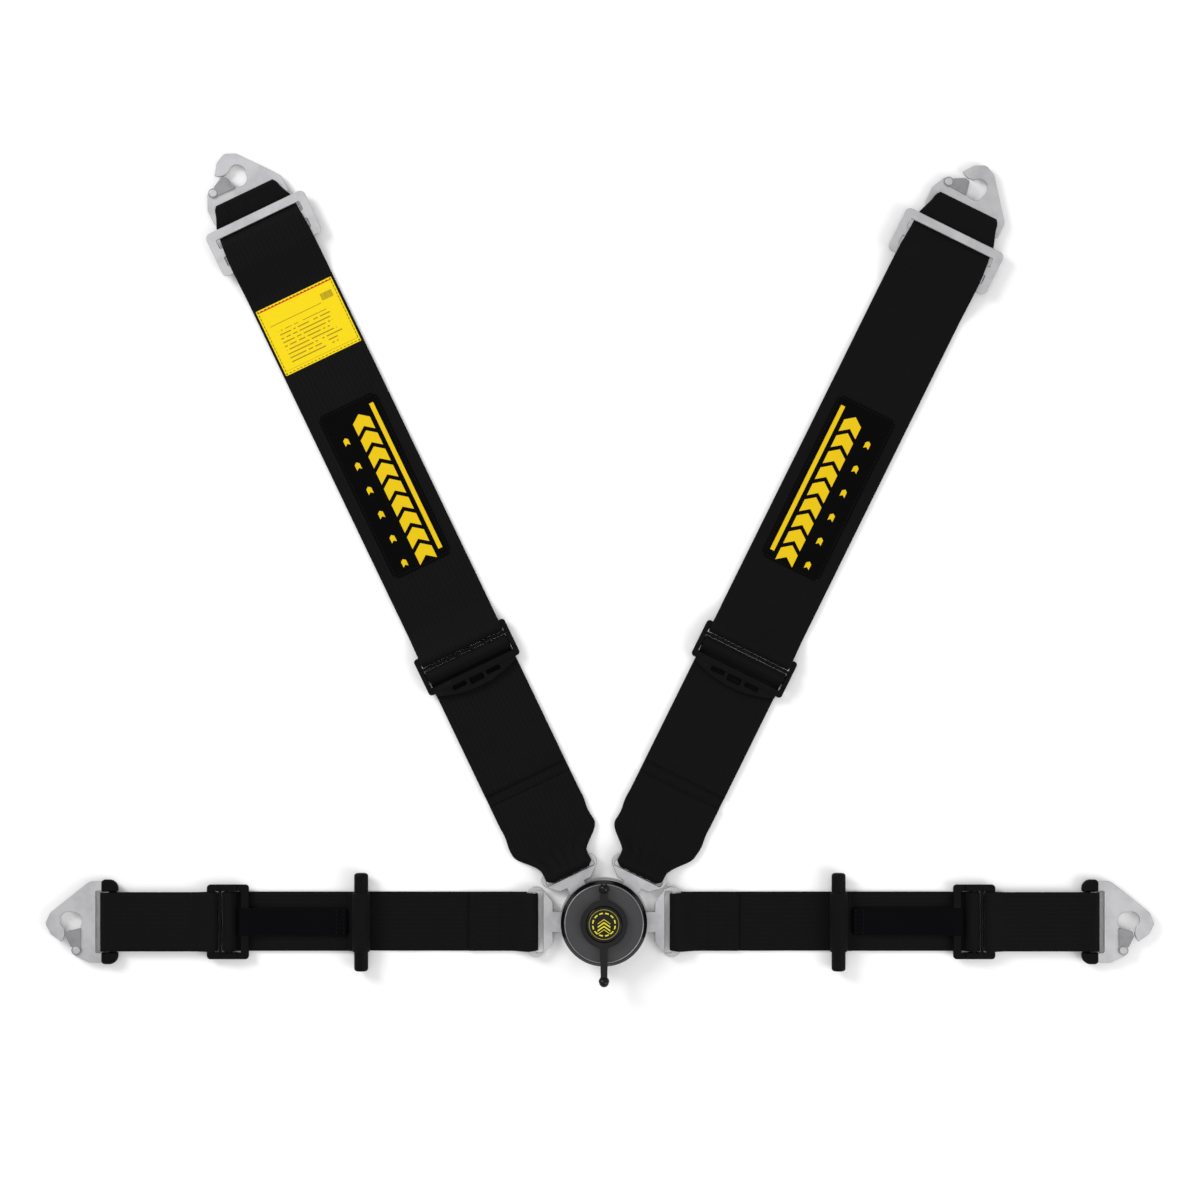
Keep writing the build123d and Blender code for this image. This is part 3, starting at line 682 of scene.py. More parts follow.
def prism(
    name: str, outline: Sequence[tuple[float, float]], z1: float, z2: float, finish: Finishes
) -> Piece:
    """An upright solid of a flat outline between two heights, in millimetres.

    Args:
        name: the new piece's name.
        outline: corners in order.
        z1: its lower height.
        z2: its upper height.
        finish: its finish.

    Returns:
        The closed solid at the origin.
    """
    bm = bmesh.new()
    low = [bm.verts.new((x * MM, y * MM, z1 * MM)) for x, y in outline]
    high = [bm.verts.new((x * MM, y * MM, z2 * MM)) for x, y in outline]
    bm.faces.new(list(reversed(low)))
    bm.faces.new(high)
    for k, vert in enumerate(low):
        n = (k + 1) % len(low)
        bm.faces.new((vert, low[n], high[n], high[k]))
    return mesh_object(name, bm, finish, smooth=False)


def coil(
    name: str, place: tuple[float, float, float], turns: float, wire: float, steps: int, finish: Finishes
) -> Piece:
    """A round wire wound about the spindle; at one height it closes into a ring.

    Args:
        name: the new piece's name.
        place: its radius, lower height and upper height, in millimetres.
        turns: how often it goes round.
        wire: the wire's radius, in millimetres.
        steps: sections along the wire.
        finish: its finish.

    Returns:
        The closed wire at the origin.
    """
    bm = bmesh.new()
    radius, low, high = place
    closed = low == high
    about = 10
    rows = []
    for i in range(steps if closed else steps + 1):
        a = TURN * turns * i / steps
        z = low + (high - low) * i / steps
        row = []
        for k in range(about):
            b = TURN * k / about
            r = radius + wire * math.cos(b)
            at = (r * math.cos(a) * MM, r * math.sin(a) * MM, (z + wire * math.sin(b)) * MM)
            row.append(bm.verts.new(at))
        rows.append(row)
    for here, after in zip(rows, rows[1:] + rows[:1] if closed else rows[1:]):
        for k in range(about):
            n = (k + 1) % about
            bm.faces.new((here[k], after[k], after[n], here[n]))
    if not closed:
        bm.faces.new(rows[0])
        bm.faces.new(list(reversed(rows[-1])))
    return mesh_object(name, bm, finish)


def settle(piece: Piece) -> None:
    """Turns a piece's modifiers into its plain mesh."""
    graph = bpy.context.evaluated_depsgraph_get()
    mesh = bpy.data.meshes.new_from_object(piece.evaluated_get(graph), depsgraph=graph)
    piece.modifiers.clear()
    piece.data = mesh


Profile = Callable[[Stop, float], float]


@dataclass(frozen=True)
class Strap:
    """A woven strap with rounded selvedges that follows a route.

    half gives half the width at a stop, lift moves a point off the strap's plane, and edge moves the
    selvedge. Sizes are in millimetres.
    """

    name: str
    stops: list[Stop]
    half: Callable[[Stop], float]
    thick: float = 1.3
    columns: int = 14
    lift: Profile = lambda stop, v: 0.0
    edge: Profile = lambda stop, side: 0.0

    def ring(self, stop: Stop) -> list[tuple[float, float]]:
        """The strap's cross-section: places across and heights off the centre line."""
        half, t = self.half(stop), self.thick / 2
        inset = min(t, half * 0.3)
        flat = [(-1 + 2 * k / self.columns) * (half - inset) for k in range(self.columns + 1)]
        top = [(v, t) for v in flat]
        bottom = [(v, -t) for v in reversed(flat)]
        right = [(half - inset * 0.3, t * 0.7), (half, 0.0), (half - inset * 0.3, -t * 0.7)]
        left = [(-v, h) for v, h in reversed(right)]
        return top + right + bottom + left

    def build(self, arm: "Arm", finish: Finishes) -> Piece:
        """Builds the strap in its arm's place.

        Args:
            arm: where the strap lies.
            finish: its finish.

        Returns:
            The strap's object, closed, with a UV map in metres.
        """
        bm = bmesh.new()
        uv = bm.loops.layers.uv.new("cloth")
        rings, places = [], {}
        for stop in self.stops:
            row = []
            for v, h in self.ring(stop):
                side = max(-1.0, min(1.0, v / max(self.half(stop), 0.1)))
                across = v + self.edge(stop, side) * abs(side) ** 6 * (1 if side > 0 else -1)
                off = h + self.lift(stop, v)
                x = stop.x - math.sin(stop.heading) * off
                z = stop.z + math.cos(stop.heading) * off
                vert = bm.verts.new(arm.point(x, across, z))
                places[vert] = (v * MM + 0.5, stop.run * MM)
                row.append(vert)
            rings.append(row)
        count = len(rings[0])
        for first, second in zip(rings, rings[1:]):
            for k in range(count):
                n = (k + 1) % count
                bm.faces.new((first[k], first[n], second[n], second[k]))
        for row in (rings[0], rings[-1]):
            self._cap(bm, row)
        for face in bm.faces:
            for loop in face.loops:
                loop[uv].uv = places[loop.vert]
        return mesh_object(self.name, bm, finish)

    def _cap(self, bm: bmesh.types.BMesh, row: list[bmesh.types.BMVert]) -> None:
        """Closes one end with strips between the upper and lower rows."""
        n = self.columns
        top = row[: n + 1]
        bottom = list(reversed(row[n + 4 : 2 * n + 5]))
        for k in range(n):
            bm.faces.new((top[k], top[k + 1], bottom[k + 1], bottom[k]))
        bm.faces.new((top[n], row[n + 1], row[n + 2], row[n + 3], bottom[n]))
        bm.faces.new((bottom[0], row[2 * n + 5], row[2 * n + 6], row[2 * n + 7], top[0]))

    def area(self) -> tuple[float, float]:
        """The strap's flat width and length in metres."""
        return 2 * max(self.half(s) for s in self.stops) * MM, self.stops[-1].run * MM


def sheet_patch(
    name: str,
    arm: "Arm",
    outline: Sequence[tuple[float, float]],
    z: float,
    thick: float,
    finish: Finishes,
) -> Piece:
    """A flat piece of cloth with a softened upper edge, cut to an outline in the arm's frame.

    Args:
        name: the piece's name.
        arm: where it lies.
        outline: corners in order, in millimetres.
        z: its underside.
        thick: its thickness.
        finish: its finish.

    Returns:
        The closed piece; its UV map runs from 0 to 1 across and along.
    """
    bm = bmesh.new()
    uv = bm.loops.layers.uv.new("cloth")
    middle = Vector((sum(p[0] for p in outline) / len(outline), sum(p[1] for p in outline) / len(outline)))
    xs, ys = [p[0] for p in outline], [p[1] for p in outline]
    rows = []
    for inset, height in ((0.0, 0.0), (0.0, thick * 0.65), (thick * 0.45, thick)):
        row = []
        for x, y in outline:
            inward = middle - Vector((x, y))
            inward = Vector((math.copysign(1, inward.x), math.copysign(1, inward.y)))
            row.append(bm.verts.new((x + inward.x * inset, y + inward.y * inset, z + height)))
        rows.append(row)
    count = len(outline)
    for low, high in zip(rows, rows[1:]):
        for k in range(count):
            n = (k + 1) % count
            bm.faces.new((low[k], low[n], high[n], high[k]))
    bm.faces.new(rows[-1])
    bm.faces.new(list(reversed(rows[0])))
    for face in bm.faces:
        for loop in face.loops:
            x, y, _ = loop.vert.co
            loop[uv].uv = ((y - min(ys)) / (max(ys) - min(ys)), (x - min(xs)) / (max(xs) - min(xs)))
    for vert in bm.verts:
        vert.co = arm.point(*vert.co)
    return mesh_object(name, bm, finish, smooth=False)


def rounded(x1: float, x2: float, half: float, radius: float, steps: int = 6) -> list[tuple[float, float]]:
    """Corners of a rounded rectangle from x1 to x2, centred across the arm."""
    points = []
    for cx, cy, start in (
        (x2 - radius, half - radius, 0.0),
        (x1 + radius, half - radius, 90.0),
        (x1 + radius, -half + radius, 180.0),
        (x2 - radius, -half + radius, 270.0),
    ):
        for k in range(steps + 1):
            angle = math.radians(start + 90.0 * k / steps)
            points.append((cx + radius * math.cos(angle), cy + radius * math.sin(angle)))
    return points


def open_group(name: str, sizes: Iterable[str], counts: Iterable[str] = ()) -> bpy.types.NodeTree:
    """Starts a Geometry Nodes tree with geometry in and out, and named inputs for counts and sizes."""
    group = bpy.data.node_groups.new(name, "GeometryNodeTree")
    face = group.interface
    face.new_socket("Geometry", in_out="INPUT", socket_type="NodeSocketGeometry")
    for label in counts:
        face.new_socket(label, in_out="INPUT", socket_type="NodeSocketInt")
    for label in sizes:
        face.new_socket(label, in_out="INPUT", socket_type="NodeSocketFloat")
    face.new_socket("Geometry", in_out="OUTPUT", socket_type="NodeSocketGeometry")
    return group


def close_group(
    group: bpy.types.NodeTree, made: bpy.types.NodeSocket, material: bpy.types.Material
) -> None:
    """Ends a tree: its instances become real geometry of one material."""
    link = group.links.new
    real = group.nodes.new("GeometryNodeRealizeInstances")
    dyed = group.nodes.new("GeometryNodeSetMaterial")
    dyed.inputs["Material"].default_value = material
    link(made, real.inputs[0])
    link(real.outputs[0], dyed.inputs[0])
    link(dyed.outputs[0], group.nodes.new("NodeGroupOutput").inputs[0])


def grow(guide: Piece, name: str, group: bpy.types.NodeTree, sizes: dict[str, float]) -> Piece:
    """Runs a Geometry Nodes tree on a guide and keeps only what it makes.

    Args:
        guide: the object that carries the tree; it is removed afterwards.
        name: the new piece's name.
        group: the tree.
        sizes: values for the tree's named inputs.

    Returns:
        One plain mesh.
    """
    modifier = guide.modifiers.new(group.name, "NODES")
    modifier.node_group = group
    for item in group.interface.items_tree:
        if item.in_out == "INPUT" and item.name in sizes:
            modifier[item.identifier] = sizes[item.name]
    graph = bpy.context.evaluated_depsgraph_get()
    mesh = bpy.data.meshes.new_from_object(guide.evaluated_get(graph), depsgraph=graph)
    bpy.data.objects.remove(guide)
    mesh.name = name
    made = bpy.data.objects.new(name, mesh)
    bpy.context.scene.collection.objects.link(made)
    return made


@dataclass(frozen=True)
class StitchTree:
    """Geometry Nodes that lay short thread stitches along curves, one stitch to each pitch."""

    name: str = "stitch_row"
    pitch: float = 3.4 * MM
    length: float = 2.5 * MM
    radius: float = 0.26 * MM

    def tree(self, material: bpy.types.Material) -> bpy.types.NodeTree:
        """Builds the tree with named inputs for pitch, stitch length and thread radius.

        Args:
            material: the thread's material.

        Returns:
            The node group, ending in Realize Instances and Set Material.
        """
        group = open_group(self.name, ("Pitch", "Stitch length", "Thread radius"))
        nodes, link = group.nodes, group.links.new
        source = nodes.new("NodeGroupInput")
        spread = nodes.new("GeometryNodeCurveToPoints")
        spread.mode = "LENGTH"
        link(source.outputs["Geometry"], spread.inputs["Curve"])
        link(source.outputs["Pitch"], spread.inputs["Length"])
        thread = nodes.new("GeometryNodeMeshUVSphere")
        thread.inputs["Segments"].default_value = 6
        thread.inputs["Rings"].default_value = 4
        thread.inputs["Radius"].default_value = 1.0
        size = nodes.new("ShaderNodeCombineXYZ")
        halve = nodes.new("ShaderNodeMath")
        halve.operation = "MULTIPLY"
        halve.inputs[1].default_value = 0.5
        link(source.outputs["Stitch length"], halve.inputs[0])
        link(source.outputs["Thread radius"], size.inputs[0])
        link(source.outputs["Thread radius"], size.inputs[1])
        link(halve.outputs[0], size.inputs[2])
        place = nodes.new("GeometryNodeInstanceOnPoints")
        link(spread.outputs["Points"], place.inputs["Points"])
        link(thread.outputs["Mesh"], place.inputs["Instance"])
        link(spread.outputs["Rotation"], place.inputs["Rotation"])
        link(size.outputs[0], place.inputs["Scale"])
        close_group(group, place.outputs["Instances"], material)
        return group

    def sew(self, name: str, rows: Iterable[Sequence[Vector]], finish: Finishes) -> Piece:
        """Sews rows of stitches.

        Args:
            name: the new piece's name.
            rows: each row's points in metres.
            finish: the thread's finish.

        Returns:
            One plain mesh of every stitch.
        """
        curve = bpy.data.curves.new(name + "_rows", "CURVE")
        curve.dimensions = "3D"
        for row in rows:
            spline = curve.splines.new("POLY")
            spline.points.add(len(row) - 1)
            for point, at in zip(spline.points, row):
                point.co = (*at, 1.0)
        guide = bpy.data.objects.new(name + "_rows", curve)
        bpy.context.scene.collection.objects.link(guide)
        group = bpy.data.node_groups.get(self.name) or self.tree(finish.make())
        sizes = {"Pitch": self.pitch, "Stitch length": self.length, "Thread radius": self.radius}
        return grow(guide, name, group, sizes)


@dataclass(frozen=True)
class Row:
    """A row of printed marks: how many, their pitch, length, half width and slant. Sizes in millimetres."""

    count: int
    pitch: float
    length: float
    half: float
    slant: float


@dataclass(frozen=True)
class ChevronTree:
    """Geometry Nodes that repeat a printed mark of two slanted halves along a line."""

    name: str = "printed_row"
    thick: float = 0.09

    def tree(self, material: bpy.types.Material) -> bpy.types.NodeTree:
        """Builds the tree with named inputs for the row's sizes.

        Args:
            material: the print's material.

        Returns:
            The node group, ending in Realize Instances and Set Material.
        """
        labels = ("Pitch", "Length", "Half width", "Slant", "Thickness")
        group = open_group(self.name, labels, ("Count",))
        nodes, link = group.nodes, group.links.new
        source = nodes.new("NodeGroupInput")

        def fed(made: bpy.types.Node, *values: object) -> bpy.types.NodeSocket:
            """Links or sets a node's first inputs, and gives its first output."""
            for place, value in enumerate(values):
                if isinstance(value, bpy.types.NodeSocket):
                    link(value, made.inputs[place])
                else:
                    made.inputs[place].default_value = value
            return made.outputs[0]

        def maths(operation: str, first: object, second: object) -> bpy.types.NodeSocket:
            """One Math node."""
            made = nodes.new("ShaderNodeMath")
            made.operation = operation
            return fed(made, first, second)

        def vector(x: object, y: object, z: object) -> bpy.types.NodeSocket:
            """One Combine XYZ node."""
            return fed(nodes.new("ShaderNodeCombineXYZ"), x, y, z)

        block = nodes.new("GeometryNodeMeshCube")
        block.inputs["Vertices Y"].default_value = 3
        wide = maths("MULTIPLY", source.outputs["Half width"], 2.0)
        link(vector(source.outputs["Length"], wide, source.outputs["Thickness"]), block.inputs["Size"])
        place = nodes.new("GeometryNodeInputPosition")
        split = nodes.new("ShaderNodeSeparateXYZ")
        link(place.outputs[0], split.inputs[0])
        off = maths("MULTIPLY", maths("ABSOLUTE", split.outputs[1], 0.0), source.outputs["Slant"])
        start = maths("MULTIPLY", source.outputs["Length"], 0.5)
        bend = nodes.new("GeometryNodeSetPosition")
        link(block.outputs["Mesh"], bend.inputs["Geometry"])
        link(vector(maths("SUBTRACT", start, off), 0.0, 0.0), bend.inputs["Offset"])
        line = nodes.new("GeometryNodeMeshLine")
        link(source.outputs["Count"], line.inputs["Count"])
        link(vector(source.outputs["Pitch"], 0.0, 0.0), line.inputs["Offset"])
        spread = nodes.new("GeometryNodeInstanceOnPoints")
        link(line.outputs["Mesh"], spread.inputs["Points"])
        link(bend.outputs["Geometry"], spread.inputs["Instance"])
        close_group(group, spread.outputs["Instances"], material)
        return group

    def print_row(self, name: str, row: Row, finish: Finishes) -> Piece:
        """Prints one row from the origin along X.

        Args:
            name: the new piece's name.
            row: its sizes.
            finish: its finish.

        Returns:
            One plain mesh of every mark, in metres.
        """
        base = bpy.data.objects.new(name, bpy.data.meshes.new(name))
        bpy.context.scene.collection.objects.link(base)
        sizes = {
            "Count": row.count,
            "Pitch": row.pitch * MM,
            "Length": row.length * MM,
            "Half width": row.half * MM,
            "Slant": row.slant,
            "Thickness": self.thick * MM,
        }
        return grow(base, name, bpy.data.node_groups.get(self.name) or self.tree(finish.make()), sizes)


# ---------------------------------------------------------------------------------------------------------
# Arms
# ---------------------------------------------------------------------------------------------------------
HARD = (
    ("tongue", Finishes.STEEL),
    ("hook", Finishes.STEEL),
    ("gate", Finishes.GATE),
    ("gate_rivet", Finishes.STEEL),
    ("adjuster", Finishes.COAT),
    ("locking_bar", Finishes.COAT),
)


@dataclass
class Arm:
    """One belt of the harness, from the buckle to its hook, with its own frame: x outward, y to the left.

    plane is the height of the bars, wrap and the two loops are radii of the webbing round the locking bar,
    the hook's bar and the adjuster's outer bar, and lead and bend place the sewn return at the tongue.
    Sizes are in millimetres.
    """

    kind: str
    side: str
    joints: dict[str, dict]
    half: float = 0.0
    plane: float = 6.5
    wrap: float = 4.5
    slack: float = 0.3
    bar_slack: float = 0.4
    hook_loop: float = 4.176
    bar_loop: float = 4.808
    lead: float = 20.0
    bend: float = 14.0
    inner_gap: float = 9.0
    inner_bend: float = 3.0
    extra: tuple[tuple[str, Finishes], ...] = ()

    def __post_init__(self) -> None:
        """Works out the arm's frame from its belt's joint."""
        joint = self.joint("belt_swing")
        axis = Vector(joint["axis"])
        self.left = -axis
        self.out = self.left.cross(Vector((0.0, 0.0, 1.0)))
        self.offset = Vector(joint["pos_m"]).dot(self.left) / MM

    @property
    def name(self) -> str:
        """The arm's name, which its nodes and bodies start with."""
        return f"{self.kind}_{self.side}"

    def joint(self, what: str) -> dict:
        """One of the arm's joints."""
        return self.joints[f"{self.name}_{what}"]

    def bar(self, what: str) -> tuple[float, float]:
        """Where a joint's axis crosses the arm: distance outward and height, in millimetres."""
        at = Vector(self.joint(what)["pos_m"])
        return at.dot(self.out) / MM, at.z / MM

    def point(self, x: float, y: float, z: float) -> Vector:
        """A point of the arm's frame, in millimetres, as a place in metres."""
        return (self.out * x + self.left * (y + self.offset) + Vector((0.0, 0.0, z))) * MM

    def matrix(self) -> Matrix:
        """The arm's frame as a matrix, in metres."""
        columns = (self.out, self.left, Vector((0.0, 0.0, 1.0)), self.left * self.offset * MM)
        rows = [[column[i] for column in columns] for i in range(3)]
        return Matrix([*rows, [0.0, 0.0, 0.0, 1.0]])

    def line(self, x1: float, y1: float, x2: float, y2: float, z: float) -> list[Vector]:
        """Both ends of a straight row at one height, in metres."""
        return [self.point(x1, y1, z), self.point(x2, y2, z)]

    def sew(self, what: str, rows: Iterable[Sequence[Vector]]) -> Piece:
        """Sews rows of stitches that belong to this arm."""
        return StitchTree().sew(f"{self.name}_{what}", rows, Finishes.THREAD)

    def span(self, node: str) -> tuple[float, float]:
        """The lowest and highest x of a node, in the arm's frame."""
        found = [Vector(v.co).dot(self.out) / MM for v in bpy.data.objects[node].data.vertices]
        return min(found), max(found)

    def dress(self) -> None:
        """Gives the arm's hard pieces their finishes."""
        for what, finish in (*HARD, *self.extra):
            dress(f"{self.name}_{what}", finish)

    def add(self, piece: Piece, body: str, slot: str, *nodes: str) -> Piece:
        """Rides a piece on one of the arm's bodies and hides what it replaces."""
        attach(piece, body)
        if nodes:
            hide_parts(*nodes)
        log.info("%s rides on %s", piece.name, body)
        return piece


def smooth(value: float, low: float, high: float) -> float:
    """A smooth step from 0 at low to 1 at high."""
    t = max(0.0, min(1.0, (value - low) / (high - low)))
    return t * t * (3 - 2 * t)


def ripple(seed: float, *lengths: float) -> Callable[[float], float]:
    """A gentle irregular wave made of a few sines, about -1 to 1."""

    def wave(at: float) -> float:
        """The wave's height at a place in millimetres."""
        waves = [math.sin(at / length * TURN + seed * (k + 1.7)) for k, length in enumerate(lengths)]
        return sum(waves) / len(waves)

    return wave


STEP = 1.4
HALF_THICK = 0.65
PROUD = 0.05


@dataclass
class LapArm(Arm):
    """A two-inch belt: tongue, belt with pull bar, adjuster, short anchor strap, hook."""

    half: float = 25.4
    extra: tuple[tuple[str, Finishes], ...] = (("hook_end_caps", Finishes.ROD), ("pull_bar", Finishes.ROD))
    hem: float = 116.0
    rod_loop: float = 6.65
    hem_bend: float = 2.5
    tab_half: float = 11.9
    tab_thick: float = 1.0
    tab_bend: float = 0.58
    inner_bar: tuple[float, float] = (17.5, 10.5)
    frame: tuple[float, float] = (5.0, 8.0)
    loop_end: float = 14.0
    loop_bend: float = 8.0

    def build(self) -> None:
        """Builds and rides every soft piece of the arm, and dresses its hard ones."""
        self.belt()
        self.anchor()
        self.tab()
        self.dress()

    def belt(self) -> None:
        """The belt: a sewn loop at the tongue, a run to the adjuster, and the tail with the pull bar."""
        bar, _ = self.bar("belt_swing")
        lock, lock_z = self.bar("adjuster_tilt")
        low = lock_z - self.wrap
        upper = low + STEP
        radius = self.plane - low
        grip = sum(self.span(f"{self.name}_pull_bar")) / 2
        bends = [
            (self.hem, upper, 0),
            (bar + self.lead, upper + self.bend, -self.bend),
            (bar, self.plane, radius),
            (lock + self.slack, lock_z, self.wrap),
            (lock - self.inner_gap, upper + self.inner_bend, -self.inner_bend),
            (grip, upper + self.rod_loop, -self.rod_loop),
            (grip + 9.5, upper + STEP + self.hem_bend, self.hem_bend),
            (grip + 11, upper + STEP, 0),
        ]
        wave = ripple(self.offset + len(self.name), 61.0, 37.0, 143.0)

        def lift(stop: Stop, v: float) -> float:
            """A soft rise and fall of the webbing, the same for every layer at a place."""
            free = smooth(stop.x, bar + 16, bar + 60) * (1 - smooth(stop.x, grip - 40, grip - 18))
            return (0.35 + 0.35 * wave(stop.x + v * 0.5)) * free * math.cos(stop.heading)

        def half(stop: Stop) -> float:
            """The webbing is a little rounded at its loop round the tongue."""
            return self.half - 1.0 * (1 - smooth(stop.x, bar - 6, bar + 5))

        strap = Strap(f"{self.name}_belt_webbing", route(bends), half, lift=lift)
        piece = strap.build(self, Finishes.WEBBING)
        self.add(piece, f"{self.name}_belt_run", "webbing", f"{self.name}_belt")
        strap.area()
        top = upper + HALF_THICK + 0.42
        rows = [self.line(x, -22.5, x, 22.5, top) for x in (self.hem - 4, self.hem - 9, bar + 27)]
        rows += [self.line(bar + 27, s * 22.5, self.hem - 4, s * 22.5, top) for s in (1, -1)]
        self.add(self.sew("belt_stitches", rows), f"{self.name}_belt_run", "webbing")
        end = upper + STEP + HALF_THICK + 0.1
        rows = [self.line(grip + 9.7, -22.0, grip + 9.7, 22.0, end)]
        self.add(self.sew("tail_stitches", rows), f"{self.name}_belt_run", "webbing")

    def anchor(self) -> None:
        """The closed loop between the adjuster's outer bar and the hook, sewn together in the middle."""
        near, _ = self.bar("strap_swing")
        far, _ = self.bar("hook_swing")
        up, down, mid = self.plane + 0.7, self.plane - 0.7, (near + far) / 2
        bends = [
            (mid - 0.5, down, 0),
            (near + self.loop_end, down - self.loop_bend, self.loop_bend),
            (near - self.bar_slack, self.plane, -self.bar_loop),
            (near + self.loop_end, up + self.loop_bend, self.loop_bend),
            (far - self.loop_end, up + self.loop_bend, self.loop_bend),
            (far, self.plane, -self.hook_loop),
            (far - self.loop_end, down - self.loop_bend, self.loop_bend),
            (mid + 0.5, down, 0),
        ]
        strap = Strap(f"{self.name}_anchor_webbing", route(bends), lambda stop: self.half)
        piece = strap.build(self, Finishes.WEBBING)
        self.add(piece, f"{self.name}_anchor_run", "webbing", f"{self.name}_anchor_strap")
        strap.area()
        first, last, side, top = near + 17, far - 17, 20.5, up + HALF_THICK + PROUD
        corners = [(first, -side), (last, -side), (last, side), (first, side)]
        rows = [self.line(*a, *b, top) for a, b in zip(corners, corners[1:] + corners[:1])]
        rows += [self.line(first, -side, last, side, top), self.line(first, side, last, -side, top)]
        self.add(self.sew("anchor_stitches", rows), f"{self.name}_anchor_run", "webbing")

    def tab(self) -> None:
        """The narrow release tab looped on the adjuster's inner bar."""
        lock, _ = self.bar("adjuster_tilt")
        grip = sum(self.span(f"{self.name}_pull_bar")) / 2
        low, end = self.plane - 2.08, grip + 12
        first, last = (lock - back for back in self.inner_bar)
        under, over = self.frame
        bends = [
            (end, low, 0),
            (last, under, self.tab_bend),
            (last, over, self.tab_bend),
            (first, over, self.tab_bend),
            ((first + last) / 2 - 24, low + self.tab_thick + PROUD + self.bend, -self.bend),
            (end, low + self.tab_thick + PROUD, 0),
        ]

        def half(stop: Stop) -> float:
            """The tab's free end is rounded a little."""
            return self.tab_half - 1.6 * (1 - smooth(stop.x, end, end + 2.4))

        strap = Strap(f"{self.name}_tab_webbing", route(bends, 2.4), half, self.tab_thick, 8)
        piece = strap.build(self, Finishes.TAB)
        self.add(piece, f"{self.name}_adjuster_body", "tab_webbing", f"{self.name}_release_tab")
        strap.area()
        top = low + self.tab_thick * 1.5 + PROUD + PROUD
        rows = [self.line(end + x, -9.5, end + x, 9.5, top) for x in (3.0, 9.5)]
        rows += [self.line(end + 3.0, s * 9.5, end + 9.5, s * 9.5, top) for s in (1, -1)]
        self.add(self.sew("tab_stitches", rows), f"{self.name}_adjuster_body", "tab_webbing")


